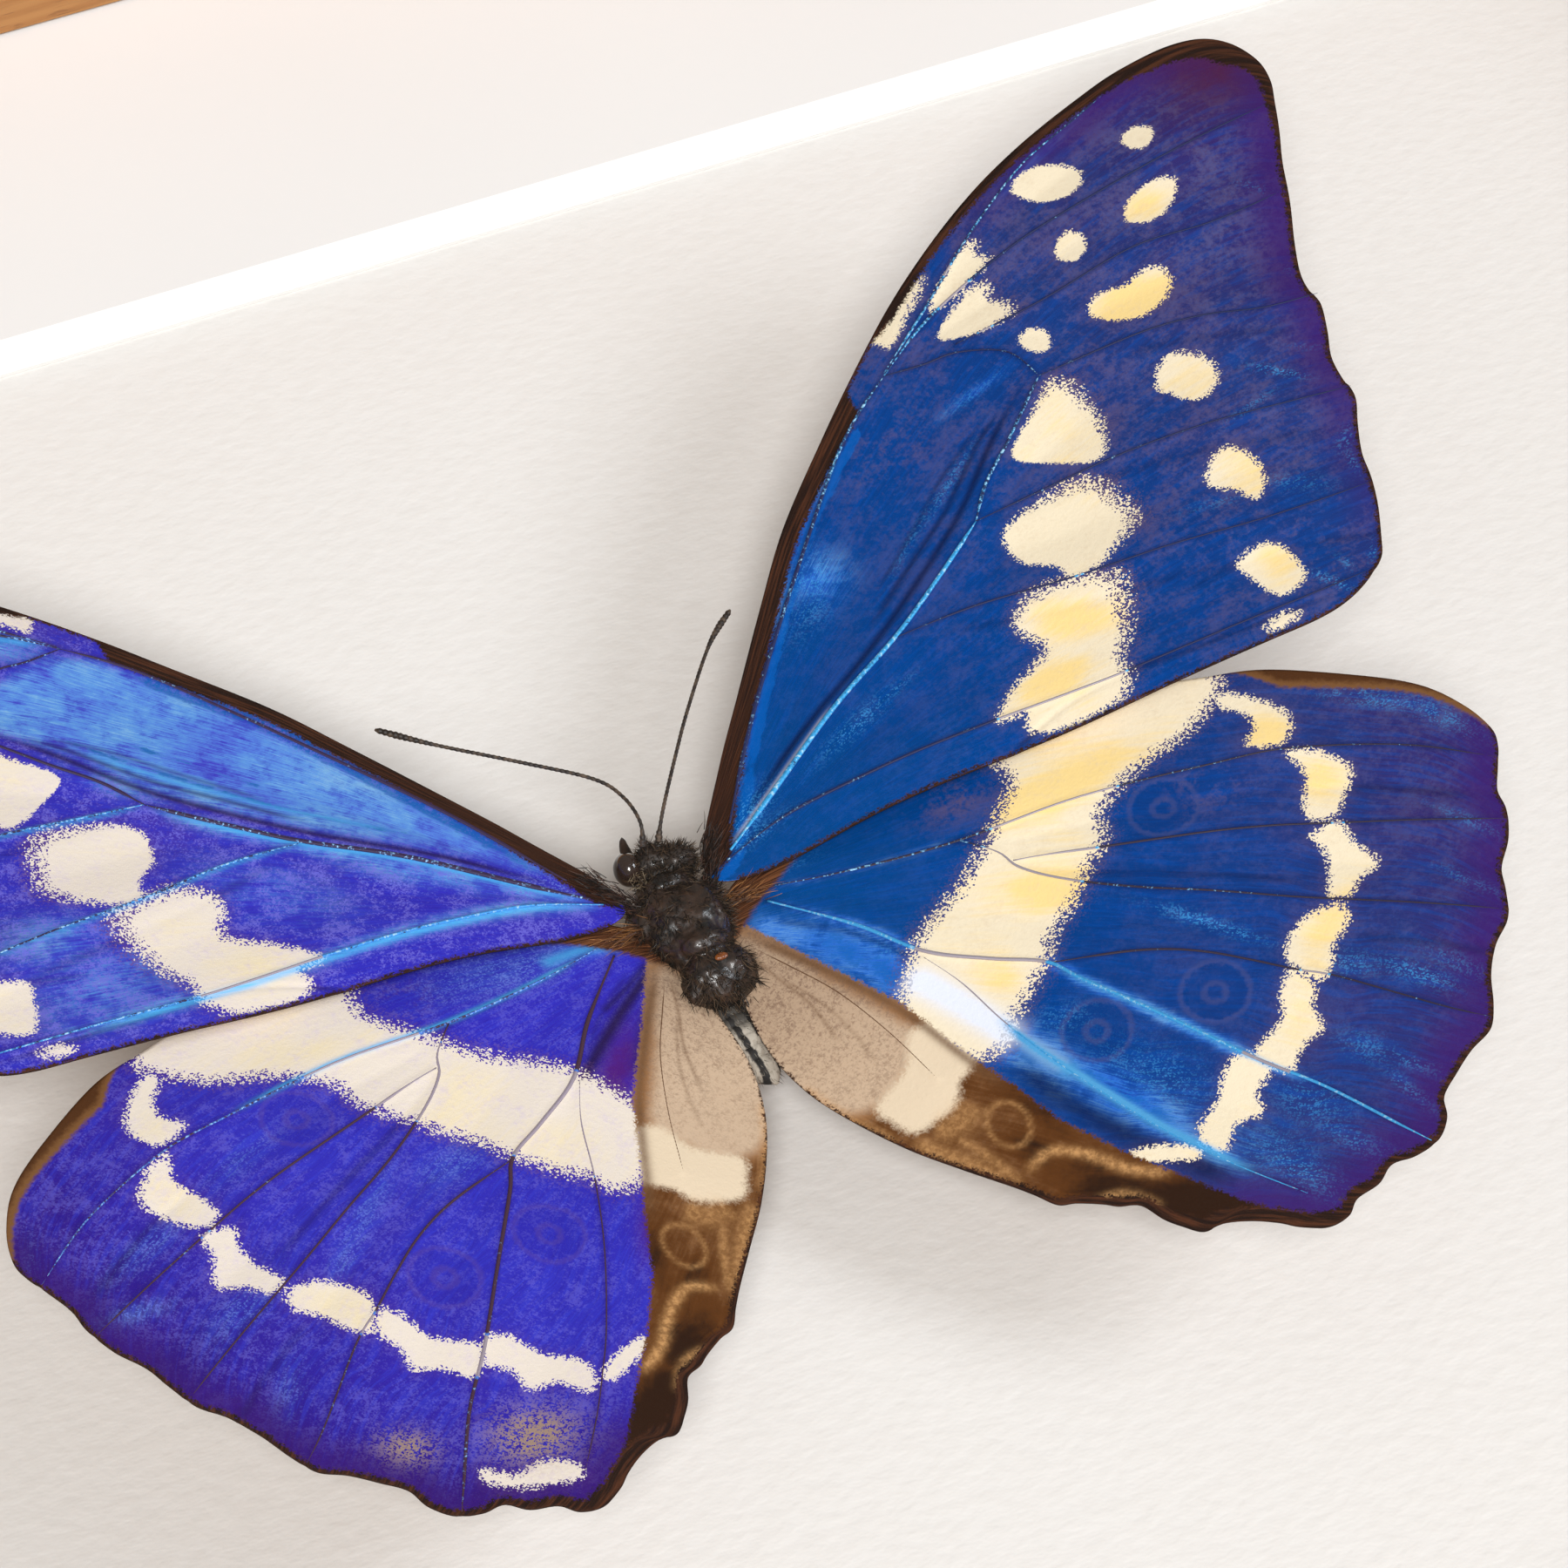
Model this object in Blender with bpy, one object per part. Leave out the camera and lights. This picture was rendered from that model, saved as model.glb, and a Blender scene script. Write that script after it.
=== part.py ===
"""A butterfly specimen in a wooden shadow-box frame, lying on its back.

+Z points out of the glass, +Y to the top of the picture and +X to its right.
The origin is the middle of the frame's back.  Sizes below are millimetres.
"""

import math

import bmesh
import bpy
from mathutils import Vector

MM = 0.001
GAP = 0.3  # air left between pieces that touch

# The picture opening
WINDOW_WIDTH = 204.0  # window of the mat, at the mount board
WINDOW_HEIGHT = 127.0
MAT_BAND = 30.2  # from the window's edge to the box wall
SIGHT_WIDTH = WINDOW_WIDTH + 2 * MAT_BAND
SIGHT_HEIGHT = WINDOW_HEIGHT + 2 * MAT_BAND

# The mitred rails
RAIL_WIDTH = 18.0
RAIL_ROUND = 1.2  # radius of the rails' front arrises
MITRE_GAP = 0.15  # taken off each mitred end
LIP_THICK = 4.6

# The layers, from the back
BACK_RECESS = 4.0
BACKING_THICK = 3.0
BOARD_THICK = 2.0
MAT_THICK = 1.6
SPACER_THICK = 6.0
SPACER_TALL = 25.0
GLASS_THICK = 2.0
REBATE = SPACER_THICK + GAP  # how far the lip overhangs the rebate
BACKING_Z = BACK_RECESS
BOARD_Z = BACKING_Z + BACKING_THICK + GAP
MAT_Z = BOARD_Z + BOARD_THICK + GAP
SPACER_Z = MAT_Z + MAT_THICK + GAP
GLASS_Z = SPACER_Z + SPACER_TALL + GAP
LIP_Z = GLASS_Z + GLASS_THICK + GAP
FRAME_TALL = LIP_Z + LIP_THICK
LAYER_WIDTH = SIGHT_WIDTH + 2 * SPACER_THICK  # the boards and the glass
LAYER_HEIGHT = SIGHT_HEIGHT + 2 * SPACER_THICK

# Fixings at the back
POINT_LONG = 15.0
POINT_WIDE = 6.0
POINT_THICK = 0.5
POINT_BURIED = 5.0  # how far a flex point is driven into its rail
POINT_Z = BACKING_Z - GAP - POINT_THICK
POINTS_ACROSS = 3  # on each long rail
POINTS_UP = 2  # on each short rail
HANGER_LONG = 44.0
HANGER_TALL = 9.0
HANGER_THICK = 0.8
HANGER_STAND = 1.5  # how far the toothed middle stands off the backing
HANGER_FOOT = 9.0  # length of each flat end
HANGER_TEETH = 9
TOOTH_DEEP = 1.6
HANGER_Y = LAYER_HEIGHT / 2 - 16.0
SCREW_HEAD_R = 2.2
SCREW_HEAD_TALL = 1.2
SCREW_R = 1.0
SCREW_DEEP = 2.2

# The specimen: its own axes run right, to the head and up, from the thorax
SPECIMEN_Y = -6.2
SPECIMEN_STAND = 8.0  # thorax above the mount board
SPECIMEN_TURN = math.radians(1.5)
FOREWING_TILT = math.radians(14.0)
HINDWING_TILT = math.radians(12.0)
FOREWING_LIFT = 0.8
HINDWING_LIFT = 0.2
WING_THICK = 0.3
PIN_R = 0.3
THORAX_HALF = (3.2, 4.7, 3.2)
THORAX_AT = (0.0, 0.2, -0.2)
HEAD_HALF = (1.9, 1.3, 1.7)
HEAD_AT = (0.0, 6.4, 1.2)
ABDOMEN_FRONT = (0.0, -4.9, -1.7)
ABDOMEN_BACK = (1.3, -10.8, -2.0)
ABDOMEN_R = 1.6
ANTENNA_R = 0.16
CLUB_R = 0.34
LEG_R = 0.22

# Corners that a wing's outline passes through, for the right-hand side
FOREWING_OUTLINE = (
    (3.4, 5.3), (7.2, 11.2), (14.1, 19.8), (21.2, 27.3), (28.9, 34.3), (38.6, 41.0),
    (46.9, 44.0), (53.6, 46.0), (58.1, 45.8), (60.9, 43.1), (61.2, 39.1), (58.1, 31.3),
    (54.8, 22.2), (53.3, 14.6), (51.1, 7.6), (48.9, 1.7), (45.8, -0.5), (39.4, -0.3),
    (30.6, 0.5), (21.2, 1.1), (13.1, 2.1), (7.7, 2.1), (3.6, 1.7),
)
HINDWING_OUTLINE = (
    (3.6, -0.6), (7.0, 2.4), (14.0, 4.6), (22.0, 5.0), (29.0, 3.6), (35.5, 0.9),
    (41.5, -1.9), (45.9, -5.9), (48.1, -11.2), (47.3, -14.6), (44.9, -19.4), (42.1, -23.7),
    (39.2, -27.7), (36.5, -31.1), (34.0, -32.6), (31.3, -35.9), (27.4, -36.5), (23.6, -37.9),
    (19.2, -35.3), (15.6, -33.6), (12.8, -29.4), (8.5, -25.0), (4.2, -18.9), (1.5, -13.4),
    (0.9, -9.6), (1.5, -5.9), (3.3, -2.6),
)
ANTENNA_LEFT_PATH = (
    (-0.5, 6.1, 3.4), (-0.1, 7.4, 3.8), (-0.3, 9.5, 4.0), (-1.4, 11.5, 4.1),
    (-4.8, 14.5, 4.1), (-9.0, 18.1, 4.0), (-11.9, 20.8, 4.0),
)
ANTENNA_RIGHT_PATH = (
    (0.5, 6.1, 3.4), (1.5, 7.6, 3.8), (3.8, 10.9, 4.0), (6.2, 14.2, 4.1),
    (9.7, 18.6, 4.0), (12.1, 20.7, 4.0),
)
LEG_PATHS = {
    "middle": ((1.6, 1.4, -3.9), (3.6, 2.2, -5.2), (4.8, -0.6, -4.4), (4.2, -3.2, -5.8)),
    "hind": ((1.4, -2.2, -3.8), (2.9, -3.0, -5.0), (4.6, -4.6, -4.4), (4.0, -6.0, -5.8)),
}


def clear_scene():
    for thing in list(bpy.data.objects):
        bpy.data.objects.remove(thing, do_unlink=True)


def make_material(name, colour, roughness, metallic=0.0, alpha=1.0):
    material = bpy.data.materials.new(name)
    material.use_nodes = True
    shader = material.node_tree.nodes["Principled BSDF"]
    shader.inputs["Base Color"].default_value = (*colour, 1.0)
    shader.inputs["Roughness"].default_value = roughness
    shader.inputs["Metallic"].default_value = metallic
    shader.inputs["Alpha"].default_value = alpha
    return material


def add_object(name, mesh, material, smooth=False):
    """Place a bmesh whose coordinates are millimetres in the scene."""
    bmesh.ops.scale(mesh, vec=Vector((MM, MM, MM)), verts=mesh.verts)
    bmesh.ops.recalc_face_normals(mesh, faces=mesh.faces)
    data = bpy.data.meshes.new(name)
    mesh.to_mesh(data)
    mesh.free()
    if smooth:
        data.shade_smooth()
        data.set_sharp_from_angle(angle=math.radians(40))
    thing = bpy.data.objects.new(name, data)
    bpy.context.collection.objects.link(thing)
    thing.data.materials.append(material)
    return thing


def hide_cutter(thing):
    thing.hide_render = True
    thing.display_type = "WIRE"


def cut(thing, cutter):
    hole = thing.modifiers.new("cut_" + cutter.name, "BOOLEAN")
    hole.operation = "DIFFERENCE"
    hole.object = cutter


def loft(rings, closed_ends=True):
    """Skin a list of rings that each have the same number of points."""
    mesh = bmesh.new()
    rows = [[mesh.verts.new(point) for point in ring] for ring in rings]
    count = len(rows[0])
    for row, following in zip(rows, rows[1:]):
        for i in range(count):
            j = (i + 1) % count
            mesh.faces.new((row[i], row[j], following[j], following[i]))
    if closed_ends:
        mesh.faces.new(rows[0])
        mesh.faces.new(rows[-1])
    return mesh


def box_mesh(low, high):
    corners = [(low[0], low[1]), (high[0], low[1]), (high[0], high[1]), (low[0], high[1])]
    return loft([[(x, y, z) for x, y in corners] for z in (low[2], high[2])])


def disc_ring(x, y, z, radius, count):
    turns = (2 * math.pi * i / count for i in range(count))
    return [(x + radius * math.cos(a), y + radius * math.sin(a), z) for a in turns]


def smooth_line(points, steps, closed):
    """Points on a Catmull-Rom curve through the given corners."""
    corners = [Vector(p) for p in points]
    count = len(corners)
    spans = count if closed else count - 1
    line = []
    for i in range(spans):
        a = corners[i - 1] if closed or i else corners[0]
        b = corners[i]
        c = corners[(i + 1) % count]
        d = corners[(i + 2) % count] if closed or i + 2 < count else corners[-1]
        for k in range(steps):
            t = k / steps
            line.append(
                0.5 * (2 * b + (c - a) * t + (2 * a - 5 * b + 4 * c - d) * t * t
                       + (3 * b - a - 3 * c + d) * t ** 3)
            )
    if not closed:
        line.append(corners[-1])
    return line


def rail_profile():
    """Section of a rail: distance out from the sight edge, and height."""
    round_steps = 4
    outline = [(REBATE, 0.0), (RAIL_WIDTH, 0.0)]
    for centre, start in ((RAIL_WIDTH - RAIL_ROUND, 0.0), (RAIL_ROUND, 90.0)):
        for k in range(round_steps + 1):
            a = math.radians(start + 90.0 * k / round_steps)
            outline.append((centre + RAIL_ROUND * math.cos(a),
                            FRAME_TALL - RAIL_ROUND + RAIL_ROUND * math.sin(a)))
    outline += [(0.0, LIP_Z), (REBATE, LIP_Z)]
    return outline


def make_rail(name, long_side, turn, material, slots_at):
    """A mitred rail along X at the top of the opening, then turned into place."""
    half_long = (SIGHT_WIDTH if long_side else SIGHT_HEIGHT) / 2
    half_short = (SIGHT_HEIGHT if long_side else SIGHT_WIDTH) / 2
    ends = []
    for side in (-1, 1):
        ends.append([(side * (half_long + out - MITRE_GAP), half_short + out, z)
                     for out, z in rail_profile()])
    rail = add_object(name, loft(ends), material, smooth=True)
    rail.rotation_euler.z = turn
    wall = half_short + REBATE
    for i, x in enumerate(slots_at):
        slot = add_object(
            f"slot_{name}_{i}",
            box_mesh((x - POINT_WIDE / 2 - GAP, wall - 2.0, POINT_Z - GAP),
                     (x + POINT_WIDE / 2 + GAP, wall + POINT_BURIED + GAP,
                      POINT_Z + POINT_THICK + GAP)),
            material,
        )
        slot.rotation_euler.z = turn
        hide_cutter(slot)
        cut(rail, slot)
    return rail


def make_flex_point(name, x, half_short, turn, material):
    """A flat steel point with a clipped tip, driven into the rebate wall."""
    wall = half_short + REBATE
    tip = wall + POINT_BURIED
    tail = tip - POINT_LONG
    half = POINT_WIDE / 2
    corners = [(x - half, tail), (x + half, tail), (x + half, tip - half), (x, tip),
               (x - half, tip - half)]
    rings = [[(px, py, z) for px, py in corners] for z in (POINT_Z, POINT_Z + POINT_THICK)]
    point = add_object(name, loft(rings), material)
    point.rotation_euler.z = turn


def make_mat(material):
    """A board with a window whose edges are cut at 45 degrees."""
    def rectangle(half_x, half_y, z):
        return [(-half_x, -half_y, z), (half_x, -half_y, z), (half_x, half_y, z),
                (-half_x, half_y, z)]
    top = MAT_Z + MAT_THICK
    outer = (LAYER_WIDTH / 2, LAYER_HEIGHT / 2)
    inner = (WINDOW_WIDTH / 2, WINDOW_HEIGHT / 2)
    rings = [
        rectangle(*outer, MAT_Z),
        rectangle(*outer, top),
        rectangle(inner[0] + MAT_THICK, inner[1] + MAT_THICK, top),
        rectangle(*inner, MAT_Z),
    ]
    mat = loft(rings + [rings[0]], closed_ends=False)
    bmesh.ops.remove_doubles(mat, verts=mat.verts, dist=0.001)
    return add_object("window_mat", mat, material)


def make_hanger(material):
    """A pressed strip with flat ends and a toothed middle that stands proud."""
    half = HANGER_LONG / 2
    middle = half - HANGER_FOOT
    ramp = 2.0
    top = BACKING_Z - GAP
    edge = [(-half, 0.0), (-middle, 0.0)]
    pitch = 2 * (middle - ramp) / HANGER_TEETH
    edge.append((-middle + ramp, 0.0))
    for i in range(HANGER_TEETH):
        start = -middle + ramp + pitch * i
        edge += [(start + pitch / 2, TOOTH_DEEP), (start + pitch, 0.0)]
    edge += [(middle, 0.0), (half, 0.0)]
    rings = []
    for x, notch in edge:
        proud = min(max((middle - abs(x)) / ramp, 0.0), 1.0) * HANGER_STAND
        z = top - proud
        low = HANGER_Y - HANGER_TALL / 2 + notch
        high = HANGER_Y + HANGER_TALL / 2
        rings.append([(x, low, z), (x, high, z), (x, high, z - HANGER_THICK),
                      (x, low, z - HANGER_THICK)])
    hanger = add_object("sawtooth_hanger", loft(rings), material)
    for side in (-1, 1):
        hole = add_object(
            f"hanger_hole_{'left' if side < 0 else 'right'}",
            loft([disc_ring(screw_x(side), HANGER_Y, z, SCREW_R + GAP, 16)
                  for z in (top - 5.0, BACKING_Z + SCREW_DEEP + GAP)]),
            material,
        )
        hide_cutter(hole)
        cut(hanger, hole)
        cut(bpy.data.objects["backing_board"], hole)


def screw_x(side):
    return side * (HANGER_LONG / 2 - HANGER_FOOT / 2)


def make_hanger_screw(name, side, material):
    x = screw_x(side)
    seat = BACKING_Z - GAP - HANGER_THICK - GAP
    rings = [
        disc_ring(x, HANGER_Y, seat - SCREW_HEAD_TALL, SCREW_HEAD_R * 0.6, 16),
        disc_ring(x, HANGER_Y, seat - SCREW_HEAD_TALL * 0.4, SCREW_HEAD_R, 16),
        disc_ring(x, HANGER_Y, seat, SCREW_HEAD_R, 16),
        disc_ring(x, HANGER_Y, seat, SCREW_R, 16),
        disc_ring(x, HANGER_Y, BACKING_Z + SCREW_DEEP, SCREW_R * 0.6, 16),
    ]
    add_object(name, loft(rings), material, smooth=True)


def ellipsoid(centre, half, rings=14, around=20):
    """A closed egg shape whose poles lie along Y."""
    mesh = bmesh.new()
    bmesh.ops.create_uvsphere(mesh, u_segments=around, v_segments=rings, radius=1.0)
    for vert in mesh.verts:
        x, y, z = vert.co
        vert.co = Vector((centre[0] + half[0] * x, centre[1] + half[1] * z,
                          centre[2] - half[2] * y))
    return mesh


def make_abdomen(material, holder):
    """Nine rings that swell behind the waist and draw in to a blunt tip."""
    rings = []
    steps = 9
    front = Vector(ABDOMEN_FRONT)
    back = Vector(ABDOMEN_BACK)
    for i in range(steps + 1):
        t = i / steps
        centre = front.lerp(back, t)
        radius = ABDOMEN_R * (0.62 + 0.75 * math.sin(math.pi * min(t + 0.12, 1.0)) - 0.35 * t)
        rings.append([(centre.x + radius * math.cos(a), centre.y, centre.z + radius * math.sin(a))
                      for a in (2 * math.pi * k / 16 for k in range(16))])
    body = add_object("abdomen", loft(rings), material, smooth=True)
    body.parent = holder
    return body


def make_wing(name, outline, side, tilt, lift, material, holder):
    """A flat blade cut to its outline and tilted up from the body."""
    line = smooth_line([(side * x, y, 0.0) for x, y in outline], 2, closed=True)
    rings = [[(p.x, p.y, z) for p in line] for z in (0.0, WING_THICK)]
    wing = add_object(name, loft(rings), material)
    wing.parent = holder
    wing.location.z = lift * MM
    wing.rotation_euler.y = -side * tilt
    return wing


def make_thread(name, path, radius_at, material, holder, steps=3, around=6):
    """A thin round limb along a smooth path, with its own radius at each point."""
    line = smooth_line(path, steps, closed=False)
    rings = []
    for i, point in enumerate(line):
        ahead = (line[min(i + 1, len(line) - 1)] - line[max(i - 1, 0)]).normalized()
        across = ahead.cross(Vector((0.0, 0.0, 1.0))).normalized()
        over = across.cross(ahead)
        radius = radius_at(i / (len(line) - 1))
        rings.append([
            point + radius * (across * math.cos(a) + over * math.sin(a))
            for a in (2 * math.pi * k / around for k in range(around))
        ])
    limb = add_object(name, loft(rings), material, smooth=True)
    limb.parent = holder
    return limb


def antenna_radius(t):
    swell = max(0.0, (t - 0.82) / 0.18)
    return ANTENNA_R + (CLUB_R - ANTENNA_R) * math.sin(math.pi * 0.75 * swell)


def leg_radius(t):
    return LEG_R * (1.15 - 0.45 * t)


def build_frame():
    wood = make_material("oak", (0.52, 0.29, 0.115), 0.45)
    spacer_wood = make_material("oak_fillet", (0.56, 0.32, 0.13), 0.5)
    steel = make_material("zinc_steel", (0.62, 0.62, 0.6), 0.35, metallic=1.0)
    quarter = math.pi / 2
    across = [LAYER_WIDTH * 0.36 * k for k in range(-(POINTS_ACROSS // 2), POINTS_ACROSS // 2 + 1)]
    up = [LAYER_HEIGHT * 0.25 * (2 * k - 1) for k in range(POINTS_UP)]
    sides = (("top", True, 0), ("left", False, 1), ("bottom", True, 2), ("right", False, 3))
    for name, long_side, quarters in sides:
        slots_at = across if long_side else up
        make_rail("rail_" + name, long_side, quarter * quarters, wood, slots_at)
        half_short = (SIGHT_HEIGHT if long_side else SIGHT_WIDTH) / 2
        for i, x in enumerate(slots_at):
            make_flex_point(f"flex_point_{name}_{i + 1}", x, half_short, quarter * quarters, steel)
        half_run = LAYER_WIDTH / 2 if long_side else SIGHT_HEIGHT / 2 - GAP
        spacer = add_object(
            "spacer_" + name,
            box_mesh((-half_run, half_short, SPACER_Z),
                     (half_run, half_short + SPACER_THICK, SPACER_Z + SPACER_TALL)),
            spacer_wood,
        )
        spacer.rotation_euler.z = quarter * quarters
    layers = (
        ("backing_board", BACKING_Z, BACKING_THICK,
         make_material("hardboard", (0.24, 0.13, 0.06), 0.75)),
        ("mount_board", BOARD_Z, BOARD_THICK,
         make_material("textured_card", (0.86, 0.84, 0.81), 0.95)),
        ("glass_pane", GLASS_Z, GLASS_THICK,
         make_material("picture_glass", (0.95, 0.98, 0.97), 0.02, alpha=0.1)),
    )
    for name, low, thick, material in layers:
        add_object(
            name,
            box_mesh((-LAYER_WIDTH / 2, -LAYER_HEIGHT / 2, low),
                     (LAYER_WIDTH / 2, LAYER_HEIGHT / 2, low + thick)),
            material,
        )
    make_mat(make_material("mat_card", (0.9, 0.86, 0.82), 0.9))
    make_hanger(steel)
    make_hanger_screw("hanger_screw_left", -1, steel)
    make_hanger_screw("hanger_screw_right", 1, steel)


def build_specimen():
    holder = bpy.data.objects.new("specimen", None)
    bpy.context.collection.objects.link(holder)
    holder.location = (0.0, SPECIMEN_Y * MM, (BOARD_Z + BOARD_THICK + SPECIMEN_STAND) * MM)
    holder.rotation_euler.z = SPECIMEN_TURN
    hairs = make_material("body_hairs", (0.045, 0.028, 0.016), 0.7)
    pale = make_material("abdomen_hairs", (0.42, 0.35, 0.27), 0.85)
    chitin = make_material("dark_chitin", (0.02, 0.014, 0.01), 0.35)
    blue = make_material("blue_scales", (0.01, 0.09, 0.45), 0.3, metallic=0.6)
    violet = make_material("violet_scales", (0.06, 0.03, 0.42), 0.3, metallic=0.6)
    steel = make_material("pin_steel", (0.7, 0.7, 0.7), 0.25, metallic=1.0)
    thorax = add_object("thorax", ellipsoid(THORAX_AT, THORAX_HALF), hairs, smooth=True)
    thorax.parent = holder
    head = add_object("head", ellipsoid(HEAD_AT, HEAD_HALF, 10, 16), hairs, smooth=True)
    head.parent = holder
    make_abdomen(pale, holder)
    for side, word, scales in ((-1, "left", violet), (1, "right", blue)):
        make_wing("forewing_" + word, FOREWING_OUTLINE, side, FOREWING_TILT, FOREWING_LIFT,
                  scales, holder)
        make_wing("hindwing_" + word, HINDWING_OUTLINE, side, HINDWING_TILT, HINDWING_LIFT,
                  scales, holder)
        path = ANTENNA_LEFT_PATH if side < 0 else ANTENNA_RIGHT_PATH
        make_thread("antenna_" + word, path, antenna_radius, chitin, holder)
        for pair, leg in LEG_PATHS.items():
            mirrored = [(side * x, y, z) for x, y, z in leg]
            make_thread(f"{pair}_leg_{word}", mirrored, leg_radius, chitin, holder, steps=2)
    pin_low = -SPECIMEN_STAND - BOARD_THICK
    pin_high = -2.0
    pin = add_object("mounting_pin",
                     loft([disc_ring(0.0, 0.0, z, PIN_R, 10) for z in (pin_low, pin_high)]),
                     steel, smooth=True)
    pin.parent = holder
    pin_hole = add_object("pin_hole",
                          loft([disc_ring(0.0, 0.0, z, PIN_R + GAP, 10)
                                for z in (pin_low - 0.2, pin_high + GAP)]),
                          steel)
    pin_hole.parent = holder
    hide_cutter(pin_hole)
    cut(thorax, pin_hole)
    cut(bpy.data.objects["mount_board"], pin_hole)


clear_scene()
build_frame()
build_specimen()
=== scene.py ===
import math

import bpy
import numpy as np
from mathutils import Matrix, Vector, noise


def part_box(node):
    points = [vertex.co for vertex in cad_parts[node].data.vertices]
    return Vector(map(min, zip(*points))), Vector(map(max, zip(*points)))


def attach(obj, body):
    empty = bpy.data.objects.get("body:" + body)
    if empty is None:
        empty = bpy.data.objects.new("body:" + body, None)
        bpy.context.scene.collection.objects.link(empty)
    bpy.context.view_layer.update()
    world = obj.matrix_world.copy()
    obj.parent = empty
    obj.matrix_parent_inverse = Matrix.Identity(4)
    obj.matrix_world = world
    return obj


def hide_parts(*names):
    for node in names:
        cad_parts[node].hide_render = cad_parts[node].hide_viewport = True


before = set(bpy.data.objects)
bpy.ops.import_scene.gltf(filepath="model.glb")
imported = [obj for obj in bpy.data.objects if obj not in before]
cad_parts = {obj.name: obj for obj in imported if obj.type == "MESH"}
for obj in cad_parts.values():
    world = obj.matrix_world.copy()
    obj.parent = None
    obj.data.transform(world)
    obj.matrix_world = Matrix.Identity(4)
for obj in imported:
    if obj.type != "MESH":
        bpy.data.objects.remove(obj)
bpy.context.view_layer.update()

MM = 0.001


# Frame rails: four lengths of light oak, mitred at the corners, glued and sanded.
# The front edges are eased over and the wood has a thin matt oil, so that its pores still show.
class Shade:
    """One output of a finish, so that its sums read as plain sums."""

    def __init__(self, finish, socket):
        self.finish = finish
        self.socket = socket

    def __add__(self, other):
        return self.finish.sum("ADD", self, other)

    def __radd__(self, other):
        return self.finish.sum("ADD", other, self)

    def __sub__(self, other):
        return self.finish.sum("SUBTRACT", self, other)

    def __rsub__(self, other):
        return self.finish.sum("SUBTRACT", other, self)

    def __mul__(self, other):
        return self.finish.sum("MULTIPLY", self, other)

    def __rmul__(self, other):
        return self.finish.sum("MULTIPLY", other, self)


class Finish:
    """A surface finish under way: its nodes, and short ways to add the usual ones."""

    def __init__(self, name):
        self.material = bpy.data.materials.new(name)
        self.material.use_nodes = True
        self.tree = self.material.node_tree
        self.tree.nodes.clear()

    def node(self, kind, settings=None, sockets=None, out=0):
        made = self.tree.nodes.new("ShaderNode" + kind)
        for key, value in (settings or {}).items():
            if key == "stops":
                while len(made.color_ramp.elements) < len(value):
                    made.color_ramp.elements.new(0.5)
                for stop, (place, colour) in zip(made.color_ramp.elements, value):
                    stop.position = place
                    stop.color = colour
            else:
                setattr(made, key, value)
        for key, value in (sockets or {}).items():
            if isinstance(value, Shade):
                self.tree.links.new(value.socket, made.inputs[key])
            else:
                made.inputs[key].default_value = value
        return Shade(self, made.outputs[out]) if made.outputs else made

    def sum(self, operation, first, second=0.0, third=0.0):
        return self.node("Math", {"operation": operation}, {0: first, 1: second, 2: third})

    def least(self, first, second):
        return self.sum("MINIMUM", first, second)

    def most(self, first, second):
        return self.sum("MAXIMUM", first, second)

    def rise(self, value, low, high):
        """0 below low, 1 above high, and a smooth step between them."""
        settings = {"interpolation_type": "SMOOTHSTEP"}
        return self.node("MapRange", settings, {0: value, 1: low, 2: high, 3: 0.0, 4: 1.0})

    def blend(self, share, first, second, way="MIX"):
        settings = {"data_type": "RGBA", "blend_type": way}
        return self.node("Mix", settings, {0: share, 6: first, 7: second}, out=2)

    def ramp(self, value, *stops):
        return self.node("ValToRGB", {"stops": stops}, {0: value})

    def place(self, scale=(1.0, 1.0, 1.0), turn=(0.0, 0.0, 0.0)):
        """Places on the piece in millimetres, stretched or turned."""
        here = self.node("TexCoord", out=3)
        size = tuple(1000.0 * part for part in scale)
        return self.node("Mapping", None, {"Vector": here, "Scale": size, "Rotation": turn})

    def rays(self, along, across):
        """Places along and across a piece whose map follows its length."""
        here = self.node("UVMap", {"uv_map": "rays"})
        return self.node("Mapping", None, {"Vector": here, "Scale": (along, across, 1.0)})

    def mark(self, name):
        return self.node("Attribute", {"attribute_name": name}, out=2)

    def cloud(self, where, scale=1.0, detail=4.0, rough=0.55, warp=0.0):
        sockets = {"Vector": where, "Scale": scale, "Detail": detail, "Roughness": rough}
        return self.node("TexNoise", None, {**sockets, "Distortion": warp})

    def flecks(self, where, scale=1.0):
        """A plain random number for each small cell."""
        cells = self.node("TexVoronoi", None, {"Vector": where, "Scale": scale}, out=1)
        return self.node("SeparateColor", None, {0: cells})

    def relief(self, height, depth, strength=1.0):
        """A bump of that depth in millimetres."""
        sockets = {"Height": height, "Distance": depth * MM, "Strength": strength}
        return self.node("Bump", None, sockets)

    def surface(self, **sockets):
        """Closes the finish with its one shader, and gives the material."""
        named = {key.replace("_", " "): value for key, value in sockets.items()}
        shader = self.node("BsdfPrincipled", None, named)
        self.node("OutputMaterial", None, {"Surface": shader})
        return self.material


def dye(red, green, blue):
    """A colour as a paint chart gives it, for a shader."""
    parts = [part / 255.0 for part in (red, green, blue)]
    linear = [p / 12.92 if p < 0.04045 else ((p + 0.055) / 1.055) ** 2.4 for p in parts]
    return (*linear, 1.0)


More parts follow.
